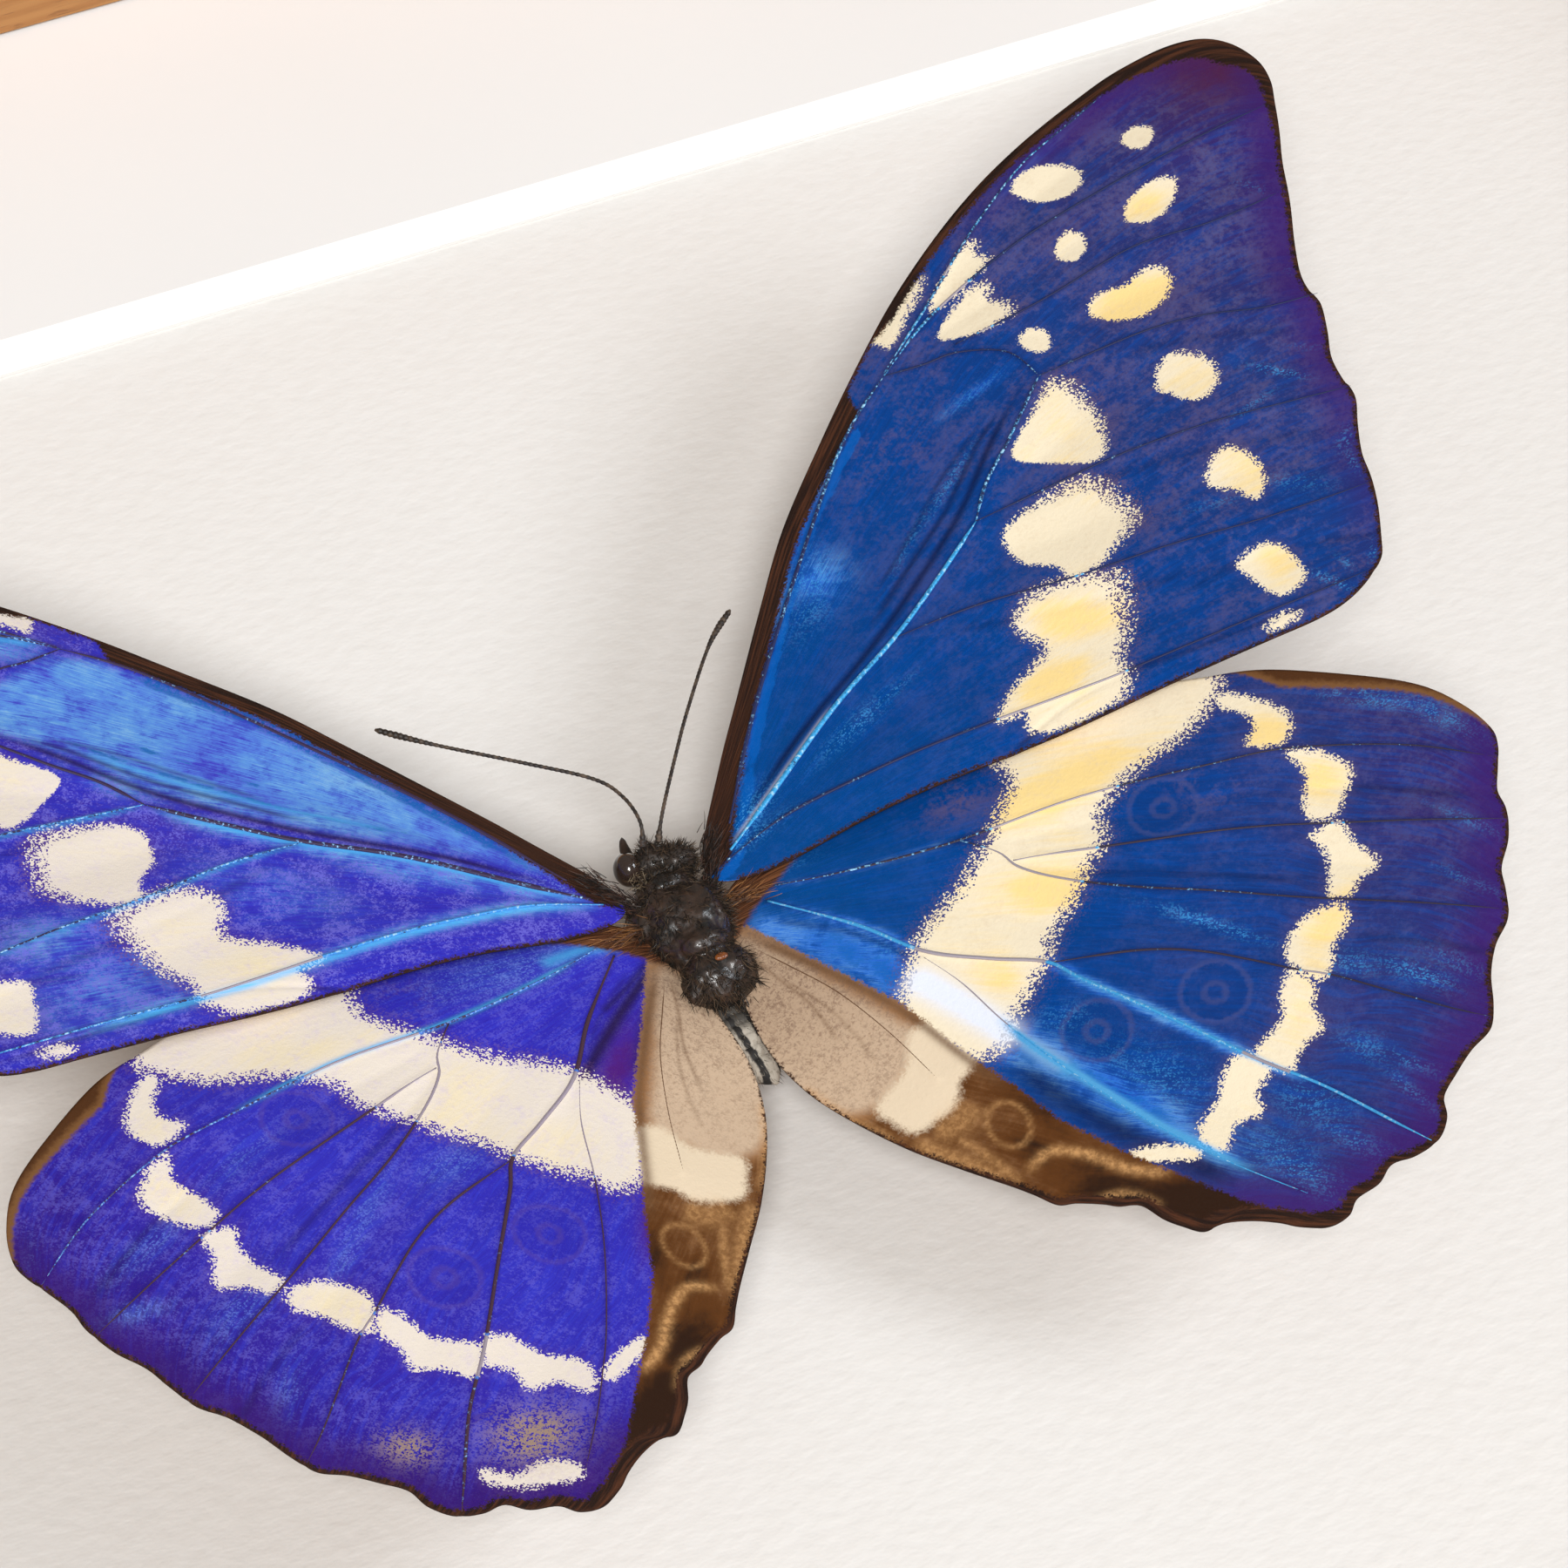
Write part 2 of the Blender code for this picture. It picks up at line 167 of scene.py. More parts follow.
def oak(name, along_y, pale, warm, deep, shift):
    """Oiled oak with its grain along the piece's length."""
    wood = Finish(name)
    long, thin = 0.012, 0.16
    stretch = (thin, long, thin) if along_y else (long, thin, thin)
    fine = tuple(11.0 * part for part in stretch)
    grain = wood.cloud(wood.place(stretch), 1.0, 3.0, 0.5, 0.6) + shift
    rings = wood.node(
        "TexWave",
        {"wave_type": "BANDS", "bands_direction": "Z"},
        {
            "Vector": wood.place(stretch, (0.5, 0.4, 0.0)),
            "Scale": 2.2,
            "Distortion": 5.5,
            "Detail": 3.0,
            "Detail Scale": 1.4,
        },
        out=1,
    )
    fibre = wood.cloud(wood.place(fine), 1.0, 5.0, 0.65)
    pores = wood.cloud(wood.place(tuple(3.1 * part for part in fine)), 1.0, 2.0, 0.4)
    pore = wood.rise(pores, 0.60, 0.70) * wood.rise(rings, 0.35, 0.75)
    tone = wood.blend(wood.rise(grain * 0.6 + rings * 0.4, 0.25, 0.75), pale, warm)
    tone = wood.blend(wood.rise(fibre, 0.46, 0.72) * 0.35, tone, deep)
    tone = wood.blend(pore * 0.55, tone, deep)
    height = 1.0 - pore + fibre * 0.35
    return wood.surface(
        Base_Color=tone,
        Roughness=0.46 + fibre * 0.2,
        Normal=wood.relief(height, 0.06, 0.6),
    )


def dress(node, material):
    """Gives a CAD part its finish."""
    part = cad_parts[node]
    if not part.data.materials:
        part.data.materials.append(material)
    for holder in part.material_slots:
        holder.material = material


PALE_OAK = dye(200, 154, 104)
WARM_OAK = dye(184, 132, 82)
DEEP_OAK = dye(148, 98, 56)
for number, side in enumerate(("top", "bottom", "left", "right")):
    upright = side in ("left", "right")
    rail_oak = oak("rail_oak_" + side, upright, PALE_OAK, WARM_OAK, DEEP_OAK, 0.03 * number)
    dress("rail_" + side, rail_oak)


# Glass: one thin clear pane with a low-reflection coating, dropped in behind the rails' lip.
# It hardly shows but for a faint cool gleam where the light meets it low.
pane = Finish("clear_glass")
smear = pane.cloud(pane.place((0.02, 0.05, 0.02)), 1.0, 0.0)
pane_glass = pane.surface(
    Base_Color=dye(24, 36, 33),
    Roughness=0.03 + smear * 0.02,
    Alpha=0.035,
    IOR=1.45,
)
dress("glass_pane", pane_glass)


# Window mat: a sheet of four-ply cotton board with the window cut at a slant.
# The face is a warm white paper and the cut edge bares the brighter core.
MAT_BAND = 30.2
UNDER_SPACER = 6.0
MAT_THICK = 1.6
mat_low, mat_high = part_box("window_mat")
mat_half = ((mat_high.x - mat_low.x) / 2 / MM, (mat_high.y - mat_low.y) / 2 / MM)
window_half = [half - MAT_BAND - UNDER_SPACER for half in mat_half]
card = Finish("mat_card")
across = card.node("SeparateXYZ", None, {0: card.place()}, out=0)
upward = card.node("SeparateXYZ", None, {0: card.place()}, out=1)
beside = card.sum("ABSOLUTE", across) - (window_half[0] + MAT_THICK)
above = card.sum("ABSOLUTE", upward) - (window_half[1] + MAT_THICK)
face = card.rise(card.most(beside, above), -0.3, 0.08)
tooth = card.cloud(card.place((2.2, 2.2, 2.2)), 1.0, 2.0, 0.6)
cloudy = card.cloud(card.place((0.05, 0.05, 0.05)), 1.0, 0.0)
paper = card.blend(cloudy, dye(241, 239, 237), dye(244, 242, 240))
paper = card.blend(tooth * 0.2, paper, dye(234, 231, 227))
core = card.blend(tooth * 0.3, dye(242, 241, 239), dye(238, 236, 233))
card_finish = card.surface(
    Base_Color=card.blend(face, core, paper),
    Roughness=0.88 + tooth * 0.08,
    Specular_IOR_Level=0.2,
    Normal=card.relief(tooth, 0.02, 0.4),
)
dress("window_mat", card_finish)


# Hinge paper: a thin white tissue ring, pasted under the mat so that it lies flat on the board.
# It closes the hairline between the two cards, and only its cut edge shows in the window.
CLEAR = 0.03 * MM
TISSUE_INSET = 1.0
TISSUE_SET_BACK = 0.02
_, board_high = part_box("mount_board")
tissue_half = [half - TISSUE_INSET for half in mat_half]
bpy.ops.object.select_all(action="DESELECT")
bpy.ops.mesh.primitive_plane_add(size=2.0, location=(0.0, 0.0, 0.0))
tissue = bpy.context.object
tissue.name = "hinge_paper"
tissue.data.name = "hinge_paper"
tissue.data.transform(Matrix.Diagonal((tissue_half[0] * MM, tissue_half[1] * MM, 1.0, 1.0)))
bpy.ops.object.mode_set(mode="EDIT")
bpy.ops.mesh.select_all(action="SELECT")
tissue_wide = tissue_half[0] - window_half[0] - TISSUE_SET_BACK
bpy.ops.mesh.inset(thickness=tissue_wide * MM, use_even_offset=True)
bpy.ops.mesh.delete(type="FACE")
bpy.ops.object.mode_set(mode="OBJECT")
tissue.data.transform(Matrix.Translation((0.0, 0.0, mat_low.z - CLEAR)))
thicken = tissue.modifiers.new("thicken", "SOLIDIFY")
thicken.thickness = mat_low.z - board_high.z - 2.0 * CLEAR
thicken.offset = -1.0
bpy.ops.object.modifier_apply(modifier="thicken")
rag = Finish("rag_tissue")
strands = rag.cloud(rag.place((0.6, 2.4, 1.0)), 1.0, 2.0)
tissue.data.materials.append(
    rag.surface(
        Base_Color=rag.blend(strands, dye(236, 234, 230), dye(240, 238, 235)),
        Roughness=0.9,
        Normal=rag.relief(strands, 0.01, 0.4),
    )
)
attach(tissue, "root")


# Spacers: four plain oak strips that stand between the glass and the mount board.
# They are sawn and sanded but not oiled, so they are drier and a little warmer than the rails.
for number, side in enumerate(("top", "bottom", "left", "right")):
    upright = side in ("left", "right")
    strip_oak = oak(
        "spacer_oak_" + side,
        upright,
        dye(182, 128, 72),
        dye(172, 116, 62),
        dye(142, 92, 46),
        0.05 * number,
    )
    dress("spacer_" + side, strip_oak)


# Mount board: the card that the butterfly is pinned to, faced with cold-pressed cotton paper.
# The paper is an off-white with the shallow, slightly directional tooth of a felt-dried sheet.
felt = Finish("mount_paper")
dimple = felt.cloud(felt.place((0.75, 1.25, 1.0)), 1.0, 2.0, 0.55)
wash = felt.cloud(felt.place((0.03, 0.03, 0.03)), 1.0, 0.0)
sheet = felt.blend(wash, dye(236, 231, 226), dye(239, 235, 231))
sheet = felt.blend(felt.rise(dimple, 0.35, 0.7) * 0.18, sheet, dye(227, 221, 214))
felt_finish = felt.surface(
    Base_Color=sheet,
    Roughness=0.86 + dimple * 0.1,
    Specular_IOR_Level=0.15,
    Normal=felt.relief(dimple, 0.09, 0.8),
)
dress("mount_board", felt_finish)


# Backing board: thin hardboard, pressed from brown wood fibre, which closes the back.
# Its outer face has the fine mesh print of the press.
board = Finish("hardboard")
fibres = board.cloud(board.place((1.6, 1.6, 1.6)), 1.0, 6.0, 0.7, 0.8)
speck = board.flecks(board.place((1.8, 1.8, 1.8)))
print_x = board.node("TexWave", None, {"Vector": board.place(), "Scale": 0.32}, out=1)
print_y = board.node(
    "TexWave", {"bands_direction": "Y"}, {"Vector": board.place(), "Scale": 0.32}, out=1
)
brown = board.blend(fibres, dye(120, 84, 54), dye(158, 118, 80))
brown = board.blend(board.rise(speck, 0.86, 0.95) * 0.5, brown, dye(92, 60, 36))
board_finish = board.surface(
    Base_Color=brown,
    Roughness=0.72 + fibres * 0.18,
    Normal=board.relief(print_x * print_y + fibres * 0.4, 0.12, 0.7),
)
dress("backing_board", board_finish)


# Flex points: short flat steel tongues shot into slots in the rails, bent to hold the back in.
# They are blued spring steel, scuffed by the tool that drives them.
def metal(name, light, dark, rough, scratch_turn):
    """Worn sheet or wire metal."""
    steel = Finish(name)
    scuff = steel.cloud(steel.place((0.4, 6.0, 3.0), (0.0, 0.0, scratch_turn)), 1.0, 5.0, 0.7)
    haze = steel.cloud(steel.place((0.5, 0.5, 0.5)), 1.0, 3.0)
    return steel.surface(
        Base_Color=steel.blend(scuff * 0.6 + haze * 0.4, dark, light),
        Metallic=1.0,
        Roughness=rough + scuff * 0.25,
        Normal=steel.relief(scuff, 0.01, 0.4),
    )


blued = metal("blued_steel", dye(150, 152, 158), dye(92, 94, 100), 0.3, 0.3)
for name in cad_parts:
    if name.startswith("flex_point"):
        dress(name, blued)


# Hanger: a stamped sawtooth bar in brass-plated steel, held on the top rail by two small screws.
# The plating is thin and dulls where fingers and the nail have touched it.
dress("sawtooth_hanger", metal("brass_plate", dye(222, 190, 120), dye(176, 140, 78), 0.28, 0.0))
screw_metal = metal("screw_brass", dye(214, 182, 112), dye(150, 118, 64), 0.32, 0.9)
dress("hanger_screw_left", screw_metal)
dress("hanger_screw_right", screw_metal)


# Mounting pin: a short stainless pin, pushed up through the board into the thorax from below,
# so that nothing of it shows from the front.
dress("mounting_pin", metal("pin_steel", dye(200, 202, 205), dye(150, 152, 156), 0.22, 0.0))
pin_low, pin_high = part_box("mounting_pin")
PIN_TO_BODY = 2.0 * MM
TURN_ON_PIN = math.radians(1.5)
pinned_at = Vector(((pin_low.x + pin_high.x) / 2, (pin_low.y + pin_high.y) / 2, 0.0))
pinned_at.z = pin_high.z + PIN_TO_BODY
SPECIMEN = (
    Matrix.Translation(pinned_at) @ Matrix.Rotation(TURN_ON_PIN, 4, "Z") @ Matrix.Scale(MM, 4)
)


# Thorax: the chitin box that holds the wing muscles, dark brown and lumpy, in three parts:
# a low collar, the big domed middle and the smaller hind part, with bare polished plates on top.
def clear_choice():
    bpy.ops.object.select_all(action="DESELECT")


def ball(name, centre, half, around=32, rings=20):
    """A rounded lump in the specimen's own millimetres."""
    clear_choice()
    bpy.ops.mesh.primitive_uv_sphere_add(segments=around, ring_count=rings, radius=1.0)
    lump = bpy.context.object
    lump.name = name
    lump.data.name = name
    lump.data.transform(Matrix.Translation(centre) @ Matrix.Diagonal((*half, 1.0)))
    return lump


def join(name, parts):
    clear_choice()
    for part in parts:
        part.select_set(True)
    bpy.context.view_layer.objects.active = parts[0]
    bpy.ops.object.join()
    whole = bpy.context.object
    whole.name = name
    whole.data.name = name
    return whole


def skin_over(whole, cell, smooth_times):
    """Melts joined lumps into one skin."""
    clear_choice()
    whole.select_set(True)
    bpy.context.view_layer.objects.active = whole
    melt = whole.modifiers.new("melt", "REMESH")
    melt.mode = "VOXEL"
    melt.voxel_size = cell
    soften = whole.modifiers.new("soften", "SMOOTH")
    soften.iterations = smooth_times
    bpy.ops.object.modifier_apply(modifier="melt")
    bpy.ops.object.modifier_apply(modifier="soften")
    bpy.ops.object.shade_smooth()
    return whole


def rough_up(piece, depth, scale, seed):
    """Pushes a skin in and out a little, in the specimen's own millimetres."""
    normals = [point.normal.copy() for point in piece.data.vertices]
    for point, normal in zip(piece.data.vertices, normals):
        spot = point.co * scale + Vector((seed, 0.0, 0.0))
        point.co += normal * depth * noise.fractal(spot, 0.9, 2.0, 4)


def set_on_pin(piece, slot, *nodes):
    """Moves a finished piece from the specimen's millimetres to its place on the pin."""
    piece.data.transform(SPECIMEN)
    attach(piece, "root")
    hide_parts(*nodes)
    return piece


def chitin(name, light, dark, gloss):
    """Hard brown insect shell."""
    shell = Finish(name)
    pits = shell.cloud(shell.place((2.4, 2.4, 2.4)), 1.0, 5.0, 0.65)
    patch = shell.cloud(shell.place((0.6, 0.6, 0.6)), 1.0, 3.0)
    tone = shell.blend(shell.rise(patch * 0.6 + pits * 0.4, 0.35, 0.68), dark, light)
    return shell.surface(
        Base_Color=tone,
        Roughness=gloss + pits * 0.3,
        Specular_IOR_Level=0.55,
        Coat_Weight=0.3,
        Coat_Roughness=0.16,
        Normal=shell.relief(pits, 0.05, 0.8),
    )


BARK_BROWN = dye(62, 42, 30)
PITCH_BROWN = dye(22, 16, 13)
shell_brown = chitin("thorax_shell", BARK_BROWN, PITCH_BROWN, 0.28)
thorax = join(
    "thorax_shell",
    [
        ball("dome", (0.05, 0.9, 0.2), (2.85, 3.2, 2.7)),
        ball("collar", (0.0, 4.0, 0.6), (1.9, 1.1, 1.9)),
        ball("hind_part", (0.35, -3.0, -0.2), (2.6, 2.0, 2.3)),
        ball("shoulder_left", (-2.1, 2.0, 0.4), (1.1, 1.9, 1.3)),
        ball("shoulder_right", (2.1, 2.0, 0.4), (1.1, 1.9, 1.3)),
        ball("keel", (0.0, 0.4, -1.6), (2.2, 3.4, 1.8)),
        ball("shield", (0.2, -1.3, 1.9), (1.5, 0.9, 0.8)),
        ball("lobe_left", (-1.0, 1.8, 2.0), (1.0, 1.5, 0.8)),
        ball("lobe_right", (1.1, 1.4, 2.0), (1.0, 1.5, 0.8)),
        ball("boss", (0.5, -3.2, 1.3), (1.0, 0.8, 0.6)),
    ],
)
skin_over(thorax, 0.13, 4)
rough_up(thorax, 0.26, 0.6, 3.0)
thorax.data.materials.clear()
thorax.data.materials.append(shell_brown)


# Body fur: fine brown and fawn hairs on the thorax, longest at the collar and the wing roots.
# Each hair is a thin tapered bristle that grows from the shell and lies back towards the tail.
def grow_hair(name, roots, leans, lengths, width, droop=0.25, fork=0.0, seed=1):
    """Closed, tapered, bent hairs from their roots, in the specimen's own millimetres."""
    picker = np.random.default_rng(seed)
    roots = np.asarray(roots, float)
    leans = np.asarray(leans, float)
    leans = leans / np.linalg.norm(leans, axis=1)[:, None]
    leans = leans + picker.normal(0.0, 0.22 + fork, leans.shape)
    leans = leans / np.linalg.norm(leans, axis=1)[:, None]
    lengths = np.asarray(lengths, float)[:, None]
    side = np.cross(leans, picker.normal(size=leans.shape))
    side = side / np.linalg.norm(side, axis=1)[:, None]
    other = np.cross(leans, side)
    curl = picker.normal(0.0, 0.18, (len(roots), 1))
    rings = []
    for share, thick in ((0.0, 1.0), (0.35, 0.85), (0.7, 0.55)):
        middle = roots + leans * lengths * share + side * lengths * curl * share**2
        middle[:, 2] -= (droop * lengths[:, 0]) * share**2
        for corner in range(3):
            angle = 2.0 * math.pi * corner / 3.0
            spread = side * math.cos(angle) + other * math.sin(angle)
            rings.append(middle + spread * width * thick)
    tip = roots + leans * lengths + side * lengths * curl
    tip[:, 2] -= droop * lengths[:, 0]
    rings.append(tip)
    points = np.stack(rings, 1).reshape(-1, 3)
    one = [(2, 1, 0)]
    for ring in (0, 3):
        for corner in range(3):
            after = (corner + 1) % 3
            one.append((ring + corner, ring + after, ring + 3 + after, ring + 3 + corner))
    one += [(6, 7, 9), (7, 8, 9), (8, 6, 9)]
    faces = [tuple(10 * hair + k for k in face) for hair in range(len(roots)) for face in one]
    mesh = bpy.data.meshes.new(name)
    mesh.from_pydata(points.tolist(), [], faces)
    tone = mesh.attributes.new("tone", "FLOAT", "POINT")
    shades = np.repeat(picker.random(len(roots)), 10)
    tone.data.foreach_set("value", shades.astype(np.float32))
    tall = mesh.attributes.new("tall", "FLOAT", "POINT")
    rise = np.tile([0.0] * 3 + [0.35] * 3 + [0.7] * 3 + [1.0], len(roots))
    tall.data.foreach_set("value", rise.astype(np.float32))
    piece = bpy.data.objects.new(name, mesh)
    bpy.context.scene.collection.objects.link(piece)
    return piece


def skin_spots(piece, count, seed, wanted=None):
    """Random places on a skin, with the way it faces there."""
    picker = np.random.default_rng(seed)
    sizes = np.array([face.area for face in piece.data.polygons])
    picks = picker.choice(len(sizes), size=count, p=sizes / sizes.sum())
    spots, ways = [], []
    for pick in picks:
        face = piece.data.polygons[int(pick)]
        corners = [piece.data.vertices[k].co for k in face.vertices]
        shares = picker.dirichlet([1.0] * len(corners))
        spot = sum((corner * float(s) for corner, s in zip(corners, shares)), Vector())
        if wanted is None or wanted(spot, face.normal):
            spots.append(spot[:])
            ways.append(face.normal[:])
    return np.array(spots), np.array(ways)


def fur(name, root_dark, tip_light, tip_dark):
    """Dull hair that pales towards its tip, some hairs more than others."""
    coat = Finish(name)
    tone = coat.mark("tone")
    tall = coat.mark("tall")
    speckle = coat.cloud(coat.place((3.0, 3.0, 3.0)), 1.0, 2.0)
    tips = coat.blend(coat.rise(tone + speckle * 0.3, 0.35, 1.0), tip_dark, tip_light)
    return coat.surface(
        Base_Color=coat.blend(coat.rise(tall, 0.0, 0.8), root_dark, tips),
        Roughness=0.5 + tone * 0.2,
        Specular_IOR_Level=0.4,
    )


brown_fur = fur("brown_fur", dye(22, 15, 11), dye(98, 76, 56), dye(36, 26, 19))
costa_fur = fur("costa_fur", dye(26, 16, 12), dye(86, 54, 38), dye(40, 25, 18))
tawny_fur = fur("tawny_fur", dye(60, 34, 18), dye(190, 130, 72), dye(110, 62, 28))


def off_plates(spot, facing):
    """Keeps hair off the bare plates on the back."""
    plates = (((1.3, -0.4), 1.0), ((-0.9, -1.0), 1.0), ((0.9, 1.8), 0.8), ((0.5, -3.2), 0.8))
    bare = any((spot.x - x) ** 2 + (spot.y - y) ** 2 < r * r for (x, y), r in plates)
    return not (bare and spot.z > 0.8)


spots, facing = skin_spots(thorax, 3800, 11, off_plates)
back = np.tile([0.0, -1.0, 0.1], (len(spots), 1))
length = np.interp(spots[:, 1], [-4.5, -1.0, 2.5, 4.5], [0.9, 0.7, 0.85, 1.1])
length = length * np.random.default_rng(12).uniform(0.5, 1.5, len(spots))
thorax_fur = grow_hair(
    "thorax_fur", spots - facing * 0.05, facing * 0.4 + back * 0.8, length, 0.034, 0.1, 0.25, 13
)
thorax_fur.data.materials.append(brown_fur)
# A small amber plate on the hind part: its bright amber is partly the shell's own colour and partly a
# painted highlight.
glinting_plate = ball("amber_glint_plate", (0.55, -2.95, 2.12), (0.42, 0.26, 0.16), 24, 16)
rough_up(glinting_plate, 0.03, 2.0, 5.0)
glinting_plate.data.materials.append(chitin("amber_glint_shell", dye(196, 112, 44), dye(112, 58, 22), 0.12))
set_on_pin(glinting_plate, "thorax")
set_on_pin(thorax, "thorax", "thorax")
set_on_pin(thorax_fur, "thorax")


# Abdomen: the soft tail part, shrunk and set in drying, in eight telescoping rings.
# It is grey-cream with two long black stripes down the back and short flat hairs.
TAIL_PATH = ((0.1, -3.6, -1.4), (0.2, -5.4, -1.75), (0.45, -7.8, -1.9), (0.9, -10.2, -2.0))


def smooth_line(points, steps=8, closed=False):
    """Points on a smooth curve through hand-set points."""
    corner = np.array(points, float)
    count = len(corner)
    share = (np.arange(steps) / steps)[:, None]
    made = []
    for k in range(count if closed else count - 1):
        near = [k - 1, k, k + 1, k + 2]
        if closed:
            a, b, c, d = (corner[j % count] for j in near)
        else:
            a, b, c, d = (corner[min(max(j, 0), count - 1)] for j in near)
        cubic = (3.0 * b - a - 3.0 * c + d) * share**3
        square = (2.0 * a - 5.0 * b + 4.0 * c - d) * share**2
        made.append(0.5 * (2.0 * b + (c - a) * share + square + cubic))
    if not closed:
        made.append(corner[-1:])
    return np.concatenate(made)


def along(line, shares):
    """Places at shares of a line's length."""
    steps = np.linalg.norm(np.diff(line, axis=0), axis=1)
    run = np.concatenate([[0.0], np.cumsum(steps)])
    return np.stack([np.interp(shares * run[-1], run, axis) for axis in line.T], 1)


def draw_out(name, threads, around=8, flat=1.0):
    """Closed tapered threads along paths: each is (path, radii, gleam at each place)."""
    points, faces, marks, runs = [], [], [], []
    for path, radii, gleam in threads:
        path = np.asarray(path, float)
        ahead = np.gradient(path, axis=0)
        ahead = ahead / np.linalg.norm(ahead, axis=1)[:, None]
        side = np.cross(ahead, [0.0, 0.0, 1.0])
        side = side / np.linalg.norm(side, axis=1)[:, None]
        up = np.cross(side, ahead)
        first = len(points)
        for k in range(len(path)):
            for j in range(around):
                angle = 2.0 * math.pi * j / around
                spread = side[k] * math.cos(angle) + up[k] * math.sin(angle) * flat
                points.append(path[k] + spread * radii[k])
                marks.append(gleam[k])
                runs.append(k / (len(path) - 1.0))
        for k in range(len(path) - 1):
            for j in range(around):
                after = (j + 1) % around
                a = first + k * around
                b = a + around
                faces.append((a + j, a + after, b + after, b + j))
        last = first + (len(path) - 1) * around
        faces.append(tuple(first + j for j in reversed(range(around))))
        faces.append(tuple(last + j for j in range(around)))
    mesh = bpy.data.meshes.new(name)
    mesh.from_pydata([tuple(point) for point in points], [], faces)
    for label, values in (("gleam", marks), ("run", runs)):
        held = mesh.attributes.new(label, "FLOAT", "POINT")
        held.data.foreach_set("value", np.array(values, np.float32))
    piece = bpy.data.objects.new(name, mesh)
    bpy.context.scene.collection.objects.link(piece)
    clear_choice()
    piece.select_set(True)
    bpy.context.view_layer.objects.active = piece
    bpy.ops.object.mode_set(mode="EDIT")
    bpy.ops.mesh.select_all(action="SELECT")
    bpy.ops.mesh.normals_make_consistent(inside=False)
    bpy.ops.object.mode_set(mode="OBJECT")
    bpy.ops.object.shade_smooth()
    return piece


RING_COUNT = 8
TIP_RADIUS = 0.12
STRIPE_LEAN = -0.16
tail_share = np.linspace(0.0, 1.0, 8 * RING_COUNT + 1)
tail_line = along(smooth_line(TAIL_PATH), tail_share)
ring_place = (tail_share * RING_COUNT) % 1.0
tail_radius = np.interp(tail_share, [0.0, 0.15, 0.5, 0.85, 1.0], [1.3, 1.5, 1.5, 1.05, TIP_RADIUS])
tail_radius = tail_radius * (1.0 - 0.10 * (1.0 - np.sin(np.pi * ring_place) ** 0.7))
tail_radius[-1] = TIP_RADIUS
abdomen = draw_out("abdomen_rings", [(tail_line, tail_radius, tail_share)], 40, 0.92)
tail = Finish("abdomen_scales")
tail_low = tail.place((1.0, 1.0, 1.0))
lean = tail.node("SeparateXYZ", None, {0: tail_low}, out=0)
back_way = tail.node("SeparateXYZ", None, {0: tail_low}, out=1)
middle = (back_way + 14.2) * STRIPE_LEAN + pinned_at.x / MM + 0.75
off_middle = tail.sum("ABSOLUTE", lean - middle - 0.15)
scale_rows = tail.flecks(tail.place((4.0, 2.6, 4.0)))
dust = tail.cloud(tail.place((1.6, 1.6, 1.6)), 1.0, 4.0)
grey = tail.blend(dust, dye(160, 148, 132), dye(198, 188, 174))
grey = tail.blend(tail.rise(scale_rows, 0.7, 0.95) * 0.35, grey, dye(120, 106, 92))
stripe_edge = off_middle + (scale_rows - 0.5) * 0.12
stripe = tail.rise(stripe_edge, 0.30, 0.42) * (1.0 - tail.rise(stripe_edge, 0.72, 0.86))
# The front half, which lies under the hindwings' inner edges, is darkened almost to black: painted
# shade.
root = 1.0 - tail.rise(tail.mark("run") + (dust - 0.5) * 0.2, 0.3, 0.56)
tail_colour = tail.blend(tail.most(stripe, root * 0.9), grey, dye(26, 20, 17))
tail_finish = tail.surface(
    Base_Color=tail_colour,
    Roughness=0.6 + dust * 0.25,
    Normal=tail.relief(scale_rows, 0.04, 0.6),
)
abdomen.data.materials.append(tail_finish)
spots, facing = skin_spots(abdomen, 900, 21, lambda spot, way: way.z > -0.3)
length = np.random.default_rng(22).uniform(0.25, 0.6, len(spots))
back = np.tile([0.15, -1.0, 0.0], (len(spots), 1))
tail_fur = grow_hair(
    "abdomen_fur", spots - facing * 0.03, facing * 0.3 + back, length, 0.014, 0.05, 0.0, 23
)
tail_fur.data.materials.append(
    fur("tail_fur", dye(60, 48, 38), dye(196, 184, 164), dye(60, 48, 40))
)
set_on_pin(abdomen, "abdomen", "abdomen")
set_on_pin(tail_fur, "abdomen")


# Legs: two pairs of thin jointed legs, folded up under the body when the specimen was relaxed.
# The first pair of this family is tiny and lost in the fur, so it isn't modelled.
leg_brown = chitin("leg_shell", dye(92, 66, 44), dye(46, 32, 22), 0.35)
LEGS = {
    "middle": ((1.0, 1.6, -2.4), (1.6, 1.4, -3.9), (3.6, 2.2, -5.2), (4.8, -0.6, -4.4),
               (4.2, -3.2, -5.8)),
    "hind": ((0.9, -1.9, -2.3), (1.4, -2.2, -3.8), (2.9, -3.0, -5.0), (4.6, -4.6, -4.4),
             (4.0, -6.0, -5.8)),
}
leg_share = np.linspace(0.0, 1.0, 49)
for pair, joints in LEGS.items():
    for side, label in ((-1.0, "left"), (1.0, "right")):
        bends = np.array(joints) * [side, 1.0, 1.0]
        route = along(bends, leg_share)
        knee = np.min([np.linalg.norm(route - bend, axis=1) for bend in bends], axis=0)
        thick = np.interp(leg_share, [0.0, 0.5, 1.0], [0.24, 0.17, 0.09])
        thick = thick * (1.0 + 0.35 * np.exp(-((knee / 0.3) ** 2)))
        leg = draw_out(pair + "_leg_jointed_" + label, [(route, thick, knee)], 10)
        leg.data.materials.append(leg_brown)
        set_on_pin(leg, "legs", pair + "_leg_" + label)


